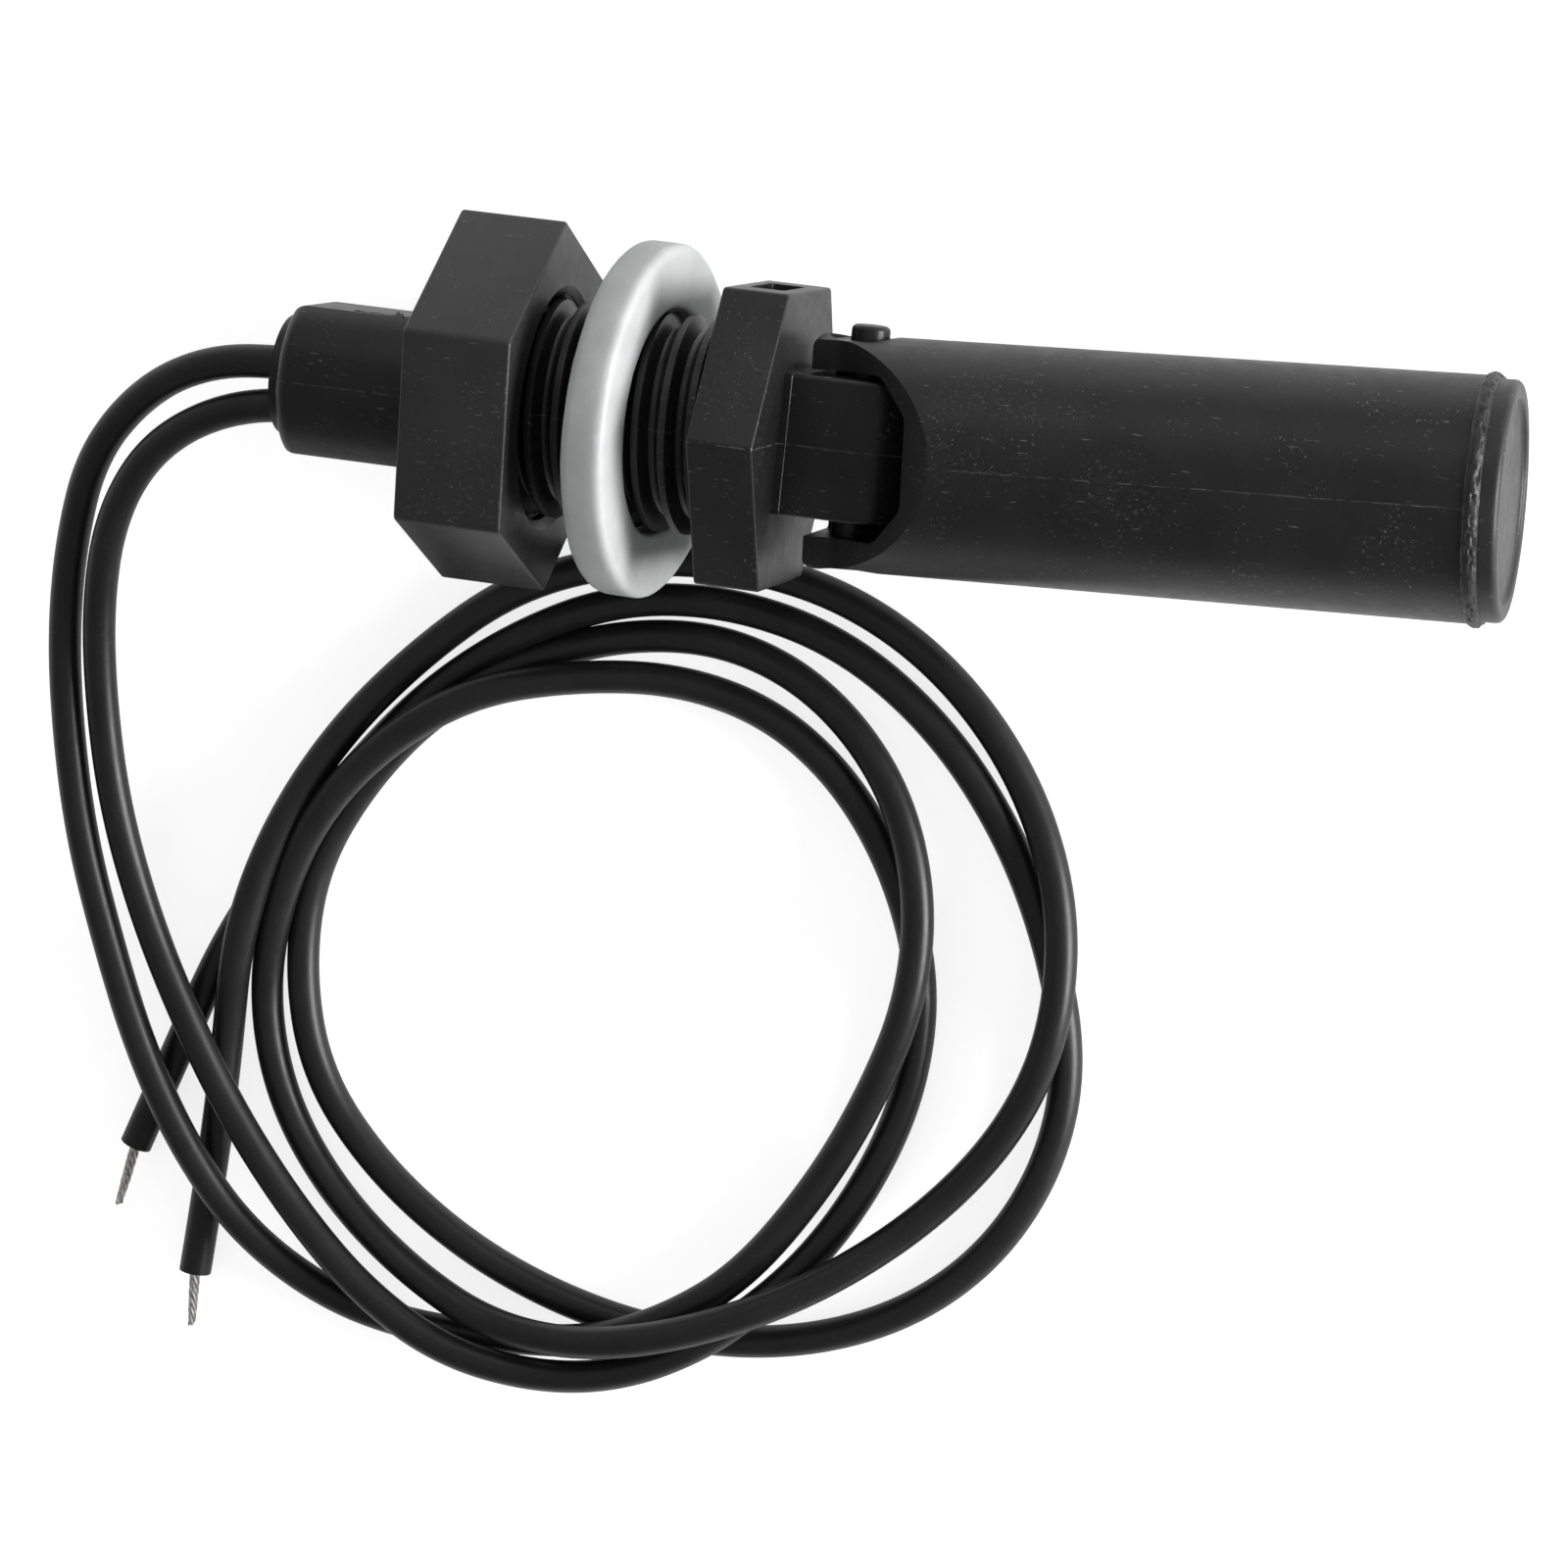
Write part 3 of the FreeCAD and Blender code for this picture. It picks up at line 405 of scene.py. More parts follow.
THREAD_RADIUS = 7.95
THREAD_ROOT = 6.8
THREAD_PITCH = 2.0
THREAD_LENGTH = 20.5
LEAD_IN = 1.0
BOSS_RADIUS = 6.4
BOSS_FLAT = 5.45
BOSS_END = -33.0
BOSS_ROUNDING = 1.1
CAVITY_RADIUS = 4.4
CAVITY_BACK = -20.1
CHANNEL_RADIUS = 2.8
CHANNEL_BACK = 12.25
FLANGE_FLATS = 21.4
FLANGE_THICKNESS = 4.9
STEM_HALF_WIDTH = 5.1
STEM_HALF_HEIGHT = 5.0
STEM_ROUNDING = 0.35
COLLAR_HALF_HEIGHT = 5.2
COLLAR_END = 5.5
HINGE_X = 9.65
PIN_RADIUS = 1.4
PIN_REACH = 8.8
PIN_ROUNDING = 0.4
RECESS_MIDDLE = 2.4
RECESS_HALF_WIDTH = 1.3
RECESS_HALF_LENGTH = 3.2
RECESS_DEPTH = 1.2
MOULD_SEAM = ((0, 1, 0), 0.0)


def along_x(u, v, w):
    """A place on a bar that lies along X, with its outline across Y and Z."""
    return Vector((w, u, v))


def along_y(u, v, w):
    """A place on a bar that lies along Y, with its outline across X and Z."""
    return Vector((u, w, v))


def softened(outline, reach, closed=True, steps=4):
    """An outline whose corners are rounded, each over the given length of its sides."""
    result = []
    count = len(outline)
    for number, corner in enumerate(outline):
        here = Vector(corner)
        if not closed and number in (0, count - 1):
            result.append(here)
            continue
        before = Vector(outline[number - 1]) - here
        after = Vector(outline[(number + 1) % count]) - here
        first = here + before.normalized() * min(reach, before.length * 0.45)
        last = here + after.normalized() * min(reach, after.length * 0.45)
        for step in range(steps + 1):
            share = step / steps
            result.append(first * (1 - share) ** 2 + here * 2 * share * (1 - share)
                          + last * share ** 2)
    return result


def shrunk(outline, distance):
    """A convex outline, anticlockwise, moved inwards by a distance."""
    inner = []
    for number, here in enumerate(outline):
        before = (here - outline[number - 1]).normalized()
        after = (outline[(number + 1) % len(outline)] - here).normalized()
        inward_before = Vector((-before.y, before.x))
        inward = inward_before + Vector((-after.y, after.x))
        inner.append(here + inward / inward.dot(inward_before) * distance)
    return inner


def slab(name, outline, stations, to_place):
    """A closed bar of one outline, moved inwards by a distance at each station."""
    mesh_builder = bmesh.new()
    rings = []
    for reach, inset in stations:
        ring = shrunk(outline, inset)
        rings.append([mesh_builder.verts.new(to_place(u, v, reach)) for u, v in ring])
    closed_bar(mesh_builder, rings)
    return solid_object(name, mesh_builder)


def rounded_end(end, radius, inward, steps=6):
    """Stations that round a bar's end; inward is the way from the end into the bar."""
    stations = []
    for step in range(steps + 1):
        turn = math.pi / 2 * step / steps
        reach = end + inward * radius * (1 - math.sin(turn))
        stations.append((reach, radius * (1 - math.cos(turn))))
    return stations


def rounded_bar(low, high, radius):
    """Stations from the low end to the high one, both rounded."""
    return rounded_end(low, radius, 1)[::-1] + rounded_end(high, radius, -1)


def turned(name, profile, sides=160, closed=False, wobble=None):
    """A profile of (x, radius) points turned about the X axis."""
    mesh_builder = bmesh.new()
    rings = []
    for x, radius in profile:
        if radius < 1e-6:
            rings.append(mesh_builder.verts.new((x, 0, 0)))
            continue
        ring = []
        for number in range(sides):
            turn = 2 * math.pi * number / sides
            place = Vector((x, radius * math.cos(turn), radius * math.sin(turn)))
            if wobble:
                place = wobble(place)
            ring.append(mesh_builder.verts.new(place))
        rings.append(ring)
    pairs = list(zip(rings, rings[1:]))
    if closed:
        pairs.append((rings[-1], rings[0]))
    for here, there in pairs:
        if isinstance(here, list) and isinstance(there, list):
            bridge(mesh_builder, [here, there])
            continue
        pole, ring = (there, here) if isinstance(here, list) else (here, there)
        for number in range(sides):
            mesh_builder.faces.new((pole, ring[number], ring[(number + 1) % sides]))
    return solid_object(name, mesh_builder)


def thread_height(share):
    """Height of a moulded thread over one pitch: rounded crest, flat root."""
    away = abs(2 * share - 1)
    rise = min(max((0.84 - away) / 0.62, 0), 1)
    return rise * rise * (3 - 2 * rise)


def threaded_bar(name, start, end, crest, root, pitch, sides=144, steps=16):
    """A bar with a right-hand thread, a turn longer than asked at each end."""
    mesh_builder = bmesh.new()
    first = start - pitch * 2
    last_row = (math.ceil((end - start) / pitch) + 3) * steps
    rows = []
    for row in range(last_row + 1):
        radius = root + (crest - root) * thread_height(row / steps % 1)
        ring = []
        for number in range(sides):
            turn = 2 * math.pi * number / sides
            x = first + pitch * (row / steps + number / sides)
            place = (x, radius * math.cos(turn), radius * math.sin(turn))
            ring.append(mesh_builder.verts.new(place))
        rows.append(ring)
    for row in range(last_row):
        for number in range(sides - 1):
            mesh_builder.faces.new((rows[row][number], rows[row][number + 1],
                                    rows[row + 1][number + 1], rows[row + 1][number]))
        if row + steps < last_row:
            mesh_builder.faces.new((rows[row][-1], rows[row + steps][0],
                                    rows[row + steps + 1][0], rows[row + 1][-1]))
    near_loop = rows[0] + [rows[row][0] for row in range(steps, 0, -1)]
    far_loop = rows[-1] + [rows[row][-1] for row in range(last_row - 1, last_row - steps - 1, -1)]
    far_x = first + pitch * (last_row / steps + 2)
    for loop, x in ((near_loop, first - pitch), (far_loop, far_x)):
        pole = mesh_builder.verts.new((x, 0, 0))
        for number in range(len(loop)):
            mesh_builder.faces.new((pole, loop[number], loop[(number + 1) % len(loop)]))
    return solid_object(name, mesh_builder)


def shaped(base, operation, *tools):
    """Join, cut or trim a solid with other solids, which are used up."""
    for tool in tools:
        step = base.modifiers.new(operation, "BOOLEAN")
        step.operation = operation
        step.solver = "EXACT"
        step.object = tool
    graph = bpy.context.evaluated_depsgraph_get()
    mesh = bpy.data.meshes.new_from_object(base.evaluated_get(graph))
    base.modifiers.clear()
    base.data = mesh
    for tool in tools:
        bpy.data.objects.remove(tool)
    return base


def hexagon(flats, first_corner):
    """The corners of a hexagon, anticlockwise, the first at the given angle."""
    reach = flats / 2 / math.cos(math.pi / 6)
    turns = [math.radians(first_corner + 60 * number) for number in range(6)]
    return [(reach * math.cos(turn), reach * math.sin(turn)) for turn in turns]


def circle(radius, across=0.0, steps=48):
    """Points round a circle whose middle is moved along the first direction."""
    turns = [2 * math.pi * step / steps for step in range(steps)]
    return [Vector((across + radius * math.cos(turn), radius * math.sin(turn))) for turn in turns]


def boss_outline():
    """A circle with two flats, one towards +Y and one towards -Y."""
    flat_turn = math.acos(BOSS_FLAT / BOSS_RADIUS)
    outline = []
    for start in (flat_turn, math.pi + flat_turn):
        for step in range(49):
            turn = start + (math.pi - 2 * flat_turn) * step / 48
            outline.append(Vector((BOSS_RADIUS * math.cos(turn), BOSS_RADIUS * math.sin(turn))))
    return outline


def stem_outline():
    """The stem seen from the side: parallel faces and a round nose about the hinge."""
    outline = [Vector((FLANGE_THICKNESS - 1, STEM_HALF_HEIGHT)),
               Vector((FLANGE_THICKNESS - 1, -STEM_HALF_HEIGHT))]
    for step in range(49):
        turn = -math.pi / 2 + math.pi * step / 48
        outline.append(Vector((HINGE_X + STEM_HALF_HEIGHT * math.cos(turn),
                               STEM_HALF_HEIGHT * math.sin(turn))))
    return outline


def make_sensor_body():
    """Boss, thread, flange, collar, stem and pins as one solid, bored out from the back."""
    boss = slab("sensor_moulding", boss_outline(),
                rounded_end(BOSS_END, BOSS_ROUNDING, 1)[::-1] + [(-THREAD_LENGTH + 2, 0)], along_x)
    thread = threaded_bar("thread", -THREAD_LENGTH, FLANGE_THICKNESS / 2, THREAD_RADIUS,
                          THREAD_ROOT, THREAD_PITCH)
    over = THREAD_RADIUS + 0.1
    blank = turned("thread_blank", [
        (-THREAD_LENGTH, 0), (-THREAD_LENGTH, THREAD_RADIUS - LEAD_IN),
        (-THREAD_LENGTH + LEAD_IN + 0.1, over), (FLANGE_THICKNESS / 2, over),
        (FLANGE_THICKNESS / 2, 0)])
    shaped(thread, "INTERSECT", blank)
    flange = slab("flange", softened(hexagon(FLANGE_FLATS, 30), 0.3),
                  rounded_bar(0, FLANGE_THICKNESS, 0.22), along_x)
    collar_outline = [(side * STEM_HALF_WIDTH, end * COLLAR_HALF_HEIGHT)
                      for side, end in ((1, -1), (1, 1), (-1, 1), (-1, -1))]
    collar = slab("collar", softened(collar_outline, 0.3),
                  [(FLANGE_THICKNESS - 1, 0), (COLLAR_END - 0.04, 0), (COLLAR_END, 0.04)], along_x)
    stem_side = STEM_HALF_WIDTH - 0.01
    stem = slab("stem", stem_outline(), rounded_bar(-stem_side, stem_side, STEM_ROUNDING), along_y)
    pins = slab("pins", circle(PIN_RADIUS, HINGE_X),
                rounded_bar(-PIN_REACH, PIN_REACH, PIN_ROUNDING), along_y)
    body = shaped(boss, "UNION", thread, flange, collar, stem, pins)
    cavity = turned("cavity", [(BOSS_END - 1, 0), (BOSS_END - 1, CAVITY_RADIUS),
                               (CAVITY_BACK, CAVITY_RADIUS), (CAVITY_BACK, CHANNEL_RADIUS),
                               (CHANNEL_BACK, CHANNEL_RADIUS), (CHANNEL_BACK, 0)], 96)
    recess_outline = [(RECESS_MIDDLE + side * RECESS_HALF_WIDTH, end * RECESS_HALF_LENGTH)
                      for side, end in ((1, -1), (1, 1), (-1, 1), (-1, -1))]
    flat = FLANGE_FLATS / 2
    recess = slab("recess", softened(recess_outline, 0.5),
                  [(flat - RECESS_DEPTH, 0.15), (flat - RECESS_DEPTH + 0.2, 0), (flat + 1, 0)],
                  along_y)
    return shaped(body, "DIFFERENCE", cavity, recess)


body_plastic = plastic("body_plastic", 0.010, 0.016, 0.36, 0.010, 0.55, (MOULD_SEAM, 0.07),
                       (((2.0, 4.6, 9.4), 4.2), ((12.0, -2.5, 5.0), 1.6)))
finished(make_sensor_body(), body_plastic, "sensor", "body_plastic", "sensor_body")


FLASH_ROOT = 0.15


def flash_ridge(name, path, height, width, up, seed):
    """A thin ragged ridge of plastic, as where a mould's halves met or at its gate."""
    mesh_builder = bmesh.new()
    rings = []
    for step, point in enumerate(path):
        point = Vector(point)
        side = direction_at(path, step).normalized().cross(up).normalized()
        sideways = noise.noise(point * 2.3 + Vector((seed, 0, 0)))
        top = height * (0.55 + 0.45 * noise.noise(point * 3.7 + Vector((0, seed, 0))))
        middle = point + side * sideways * width * 1.2
        foot = up * FLASH_ROOT
        corners = (middle - side * width / 2 - foot, middle + up * top,
                   middle + side * width / 2 - foot)
        rings.append([mesh_builder.verts.new(corner) for corner in corners])
    closed_bar(mesh_builder, rings)
    return solid_object(name, mesh_builder)


def straight(start, end, steps):
    """Evenly spaced points from one place to another."""
    return [Vector(start).lerp(Vector(end), step / steps) for step in range(steps + 1)]


flash_plastic = plastic("flash_plastic", 0.05, 0.16, 0.45, 0.010, 0.8)
SIDEWAYS = Vector((0, 1, 0))
for name, path, height, width, up in (
    ("boss_flash", straight((-32.2, 0, 6.38), (-20.6, 0, 6.38), 90), 0.09, 0.10, UP),
    ("boss_flash_below", straight((-32.2, 0, -6.38), (-20.6, 0, -6.38), 90), 0.07, 0.10, -UP),
    ("stem_flash", straight((5.6, 0, 5.0), (9.6, 0, 5.0), 40), 0.05, 0.09, UP),
    ("stem_edge_flash", straight((5.6, 4.98, 4.78), (9.4, 4.98, 4.78), 50), 0.07, 0.12, UP),
    ("boss_gate", straight((-28.6, 5.42, 2.6), (-22.2, 5.42, 3.0), 60), 0.14, 0.16, SIDEWAYS),
    ("boss_hair", straight((-25.6, 5.4, 1.6), (-24.4, 5.4, 3.4), 14), 0.5, 0.10, SIDEWAYS),
):
    finished(flash_ridge(name, path, height, width, up, len(name)), flash_plastic, "sensor",
             "body_plastic", sharp=60)

# ---------------------------------------------------------------------------
# Mounting nut: a plain hexagon nut moulded in black plastic. The side that
# meets the gasket opens in a wide mouth, and the bore has a shallow thread.

NUT_FLATS = 24.0
NUT_FACE = -13.3
NUT_BACK = -21.35
NUT_TURN = 7.0
NUT_MOUTH = 8.95
NUT_CREST = 8.02
NUT_ROOT = 8.55


def make_nut():
    """A rounded hexagon bar with a threaded bore and its mouth cut out."""
    nut = slab("nut_moulding", softened(hexagon(NUT_FLATS, NUT_TURN), 0.35),
               rounded_bar(NUT_BACK, NUT_FACE, 0.25), along_x)
    bore = threaded_bar("nut_bore", NUT_BACK - 1, NUT_FACE + 1, NUT_ROOT, NUT_CREST, THREAD_PITCH)
    mouth = turned("nut_mouth", [(NUT_FACE - 0.95, 0), (NUT_FACE - 0.95, NUT_CREST - 0.01),
                                 (NUT_FACE - 0.12, NUT_MOUTH - 0.12), (NUT_FACE, NUT_MOUTH + 0.04),
                                 (NUT_FACE + 1, NUT_MOUTH + 0.1), (NUT_FACE + 1, 0)])
    return shaped(nut, "DIFFERENCE", bore, mouth)


nut_plastic = plastic("nut_plastic", 0.028, 0.037, 0.36, 0.008, 0.5,
                      scuffs=(((-16.0, -5.0, 12.0), 5.0), ((-14.5, 2.0, 12.0), 2.5)))
finished(make_nut(), nut_plastic, "nut", "nut_plastic", "mounting_nut")

# ---------------------------------------------------------------------------
# Sealing gasket: a thick ring of milky silicone rubber, moulded and a little
# uneven, that hangs askew on the thread until the nut presses it home.

GASKET_CENTRE = -6.35
GASKET_HALF = 1.68
GASKET_BORE = 8.17
GASKET_RIM = 12.96
GASKET_LEAN = 5.0
WAVE_ROOM = 0.06


def uneven(place):
    """The small waves of a soft moulding, which the section leaves room for."""
    wave = noise.noise(place * 0.22) * 0.10 + noise.noise(place * 0.9) * 0.025
    return place + Vector((wave, place.y * wave * 0.02, place.z * wave * 0.02))


def make_gasket():
    """A soft-cornered ring, set askew on the thread."""
    half = GASKET_HALF - WAVE_ROOM
    section = softened([(-half, GASKET_BORE), (half, GASKET_BORE), (half, GASKET_RIM),
                        (-half, GASKET_RIM)], 0.75, steps=6)
    ring = turned("gasket_moulding", section, 192, True, uneven)
    ring.data.transform(Matrix.Translation((GASKET_CENTRE * MM, 0, 0))
                        @ Matrix.Rotation(math.radians(-GASKET_LEAN), 4, "Y"))
    return ring


def silicone(name):
    """Milky rubber that light goes into, with faint clouds and a dull skin."""
    material, tree, shader, place = empty_material(name)
    tone = stepped(tree, cloudy(tree, place, 3.0, 4), 0.3, 0.7)
    tree.links.new(coloured(tree, tone, (0.62, 0.64, 0.635), (0.70, 0.72, 0.715)),
                   shader.inputs["Base Color"])
    shader.inputs["Subsurface Weight"].default_value = 0.6
    shader.inputs["Subsurface Radius"].default_value = (1.0, 1.0, 0.95)
    shader.inputs["Subsurface Scale"].default_value = 2.0 * MM
    rough = calculated(tree, "MULTIPLY_ADD", cloudy(tree, place, 0.8, 4), 0.2, 0.34)
    tree.links.new(rough, shader.inputs["Roughness"])
    bumped(tree, shader, cloudy(tree, place, 0.35, 3), 0.012)
    return material


finished(make_gasket(), silicone("milky_silicone"), "gasket", "silicone", "sealing_gasket",
         sharp=60)

# ---------------------------------------------------------------------------
# Float shell: a hollow moulding in foamed black plastic, forked round the
# stem and cut off at a slant above the fork. Its two ears turn on the stem's
# pins, a wall closes the hollow behind the slot, and the magnet sits there.

FLOAT_YAW = math.radians(3.0)
FLOAT_SHIFT = -0.5
FLOAT_RADIUS = 8.5
FLOAT_END_RADIUS = 8.75
FLOAT_LENGTH = 45.0
FLOAT_WALL = 1.8
EAR_REACH = 3.2
EAR_BEVEL = 0.3
EAR_HEIGHT = 2.3
EAR_GAP = 6.0
MITRE_HEIGHT = 2.8
MITRE_SLOPE = math.tan(math.radians(39.1))
SLOT_DEPTH = 6.2
SLOT_FLOOR = -5.15
SLOT_CEILING = 6.7
SLOT_CEILING_HALF = 3.3
SLOT_CEILING_BEVEL = 1.9
SLOT_FLOOR_BEVEL = 0.25
CHAMBER_START = 7.8
MAGNET_SEAT = 5.05
SOCKET_WALL = 1.1
SOCKET_END = 12.8
SPOT_RADIUS = 2.5
SPOT_DISTANCE = 8.2
PIN_PLAY = 0.06
FLOAT_FRAME = Matrix.Translation((HINGE_X, FLOAT_SHIFT, 0)) @ Matrix.Rotation(FLOAT_YAW, 4, "Z")
FLOAT_FRAME_METRES = (Matrix.Translation((HINGE_X * MM, FLOAT_SHIFT * MM, 0))
                      @ Matrix.Rotation(FLOAT_YAW, 4, "Z"))
FLOAT_SIDE = Vector((-math.sin(FLOAT_YAW), math.cos(FLOAT_YAW), 0))
FLOAT_SEAM = (tuple(FLOAT_SIDE), FLOAT_SIDE.dot(Vector((HINGE_X, FLOAT_SHIFT, 0))))


def crest(x):
    """The float's radius at a distance from the hinge."""
    return FLOAT_RADIUS + (FLOAT_END_RADIUS - FLOAT_RADIUS) * max(x, 0) / FLOAT_LENGTH


def make_float_shell():
    """A tapered bar with the slant, the hollow, the fork's slot and the pin holes cut out."""
    shell = turned("float_moulding", softened([
        (-EAR_REACH, 0), (-EAR_REACH, FLOAT_RADIUS - EAR_BEVEL),
        (-EAR_REACH + EAR_BEVEL, FLOAT_RADIUS),
        (FLOAT_LENGTH, FLOAT_END_RADIUS), (FLOAT_LENGTH, 0)], 0.3, False), 192)
    top = FLOAT_RADIUS * 2
    mitre = slab("mitre", softened([
        ((EAR_HEIGHT - MITRE_HEIGHT) / MITRE_SLOPE, EAR_HEIGHT),
        ((top - MITRE_HEIGHT) / MITRE_SLOPE, top),
        (-top, top), (-top, EAR_HEIGHT)], 0.9), [(-top, 0), (top, 0)], along_y)
    socket = MAGNET_SEAT + SOCKET_WALL
    inner_start = FLOAT_RADIUS - FLOAT_WALL
    inner_end = FLOAT_END_RADIUS - FLOAT_WALL
    chamber = turned("chamber", [
        (CHAMBER_START, 0), (CHAMBER_START, MAGNET_SEAT), (SOCKET_END, MAGNET_SEAT),
        (SOCKET_END, socket), (CHAMBER_START, socket), (CHAMBER_START, inner_start),
        (FLOAT_LENGTH, inner_end), (FLOAT_LENGTH + 1, inner_end), (FLOAT_LENGTH + 1, 0)], 96)
    right_half = [(EAR_GAP - SLOT_FLOOR_BEVEL, SLOT_FLOOR),
                  (EAR_GAP, SLOT_FLOOR + SLOT_FLOOR_BEVEL),
                  (EAR_GAP, SLOT_CEILING - SLOT_CEILING_BEVEL),
                  (SLOT_CEILING_HALF, SLOT_CEILING)]
    left_half = [(-across, height) for across, height in reversed(right_half)]
    slot = slab("slot", softened(right_half + left_half, 0.5),
                [(-EAR_REACH - 1, 0), (SLOT_DEPTH - 0.2, 0), (SLOT_DEPTH, 0.2)], along_x)
    spots = [slab("spot", circle(SPOT_RADIUS), [(side * SPOT_DISTANCE, 0), (side * top, 0)],
                  along_y) for side in (1, -1)]
    shell = shaped(shell, "DIFFERENCE", mitre, chamber, slot, *spots)
    shell.data.transform(FLOAT_FRAME_METRES)
    hole = slab("pin_hole", circle(PIN_RADIUS + PIN_PLAY, HINGE_X), [(-top, 0), (top, 0)], along_y)
    return shaped(shell, "DIFFERENCE", hole)


def on_float(x, y, z):
    """A place given from the hinge, along the float."""
    return FLOAT_FRAME @ Vector((x, y, z))


FLOAT_SCUFFS = (((20.0, 3.5, 7.6), 6.5), ((30.0, -1.0, 8.0), 5.0), ((50.0, -3.0, 8.0), 4.0))
float_plastic = plastic("float_plastic", 0.013, 0.019, 0.38, 0.014, 0.6, (FLOAT_SEAM, 0.06),
                        FLOAT_SCUFFS)
finished(make_float_shell(), float_plastic, "float", "float_plastic", "float_shell")
for name, start, end, height, width, steps in (
    ("float_gate_scar", 9.4, 13.6, 0.12, 0.22, 50),
    ("float_flash_near", 8.6, 9.4, 0.05, 0.07, 12),
    ("float_flash_far", 13.6, 41.0, 0.03, 0.05, 150),
):
    path = straight(on_float(start, 0, crest(start)), on_float(end, 0, crest(end)), steps)
    finished(flash_ridge(name, path, height, width, UP, len(name)), flash_plastic, "float",
             "float_plastic", sharp=60)

# ---------------------------------------------------------------------------
# Float cap: a disc moulded in the same plastic, pushed into the float on its
# spigot and welded round its rim, which leaves a ragged bead. Its end has a
# shallow dish, pale from rubbing. The cap is painted lighter than the float and
# its end paler still: painted reflection of the bright floor that the end reflects.

CAP_START = FLOAT_LENGTH
CAP_END = 47.24
CAP_RIM = 8.55
CAP_CORNER = 0.3
CAP_BEAD = 0.9
BEAD_LAP = 0.35
BEAD_HEIGHT = 0.45
BEAD_STEPS = 14
CAP_DISH = 7.25
CAP_DISH_DEPTH = 0.35
CAP_WALL = 1.4
CAP_SPIGOT_RADIUS = 6.9
CAP_SPIGOT_LENGTH = 3.0


def ragged_bead(place):
    """The uneven crest of the weld, only near the joint."""
    radius = math.hypot(place.y, place.z)
    if radius < CAP_RIM + 0.02 or place.x > CAP_START + CAP_BEAD:
        return place
    wave = noise.noise(place * 2.2) * 0.20 + noise.noise(place * 5.0) * 0.16
    share = 1 + min(wave, 0.04) / radius
    return Vector((place.x + wave * 0.5, place.y * share, place.z * share))


def make_cap():
    """A turned profile from the dish's middle over the bead to the spigot's inside."""
    dish = CAP_END - CAP_DISH_DEPTH
    rim = [(dish, 0), (dish, CAP_DISH - 0.15), (CAP_END, CAP_DISH),
           (CAP_END, CAP_RIM - CAP_CORNER), (CAP_END - CAP_CORNER, CAP_RIM),
           (CAP_START + CAP_BEAD, CAP_RIM)]
    bead = [(CAP_START + CAP_BEAD - (CAP_BEAD + BEAD_LAP) * step / BEAD_STEPS,
             CAP_RIM + BEAD_HEIGHT * math.sin(math.pi * step / BEAD_STEPS) ** 0.7)
            for step in range(1, BEAD_STEPS)]
    spigot_end = CAP_START - CAP_SPIGOT_LENGTH
    spigot_bore = CAP_SPIGOT_RADIUS - CAP_WALL
    inside = [(CAP_START, CAP_RIM), (CAP_START, CAP_SPIGOT_RADIUS),
              (spigot_end, CAP_SPIGOT_RADIUS), (spigot_end, spigot_bore),
              (dish - CAP_WALL, spigot_bore), (dish - CAP_WALL, 0)]
    profile = softened(rim, 0.22, False, 3) + bead + inside
    cap = turned("cap_moulding", profile, 200, wobble=ragged_bead)
    cap.data.transform(FLOAT_FRAME_METRES)
    return cap


FLOAT_AXIS = Vector((math.cos(FLOAT_YAW), math.sin(FLOAT_YAW), 0))
WELD_EDGE = (tuple(FLOAT_AXIS), FLOAT_AXIS.dot(on_float(CAP_START - BEAD_LAP / 2, 0, 0)))
# Painted reflection: the cap's colours are lighter than the float's same plastic, and its end patch
# is paler still, standing in for the bright floor that the end reflects.
END_RUB_AND_PAINTED_REFLECTION = ((57.0, 1.5, 0.0), 7.6)
cap_plastic = plastic("cap_plastic", 0.020, 0.040, 0.42, 0.014, 0.8, (WELD_EDGE, 0.16),
                      (END_RUB_AND_PAINTED_REFLECTION,), rub_and_reflection=0.65)
finished(make_cap(), cap_plastic, "float", "cap_plastic", "float_cap")

# ---------------------------------------------------------------------------
# Inner pieces: the glass reed switch with its plated legs, the sleeve on the
# leg that comes back, the solder joints, the stripped strands, the shrink
# sleeves, the potting resin that holds them all, and the float's magnet.


def clear_glass(name):
    """Green-tinted sealing glass, faintly clouded all over."""
    material, tree, shader, place = empty_material(name)
    tone = stepped(tree, cloudy(tree, place, 2.0, 3), 0.35, 0.7)
    tree.links.new(coloured(tree, tone, (0.62, 0.80, 0.68), (0.76, 0.90, 0.80)),
                   shader.inputs["Base Color"])
    shader.inputs["Transmission Weight"].default_value = 0.9
    shader.inputs["IOR"].default_value = 1.5
    rough = calculated(tree, "MULTIPLY_ADD", cloudy(tree, place, 0.8, 3), 0.08, 0.02)
    tree.links.new(rough, shader.inputs["Roughness"])
    bumped(tree, shader, cloudy(tree, place, 0.7, 2), 0.003)
    return material


def dressed(material, *names):
    """Give pieces that keep their CAD shape their surface."""
    for name in names:
        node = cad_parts[name]
        node.data.materials.clear()
        node.data.materials.append(material)


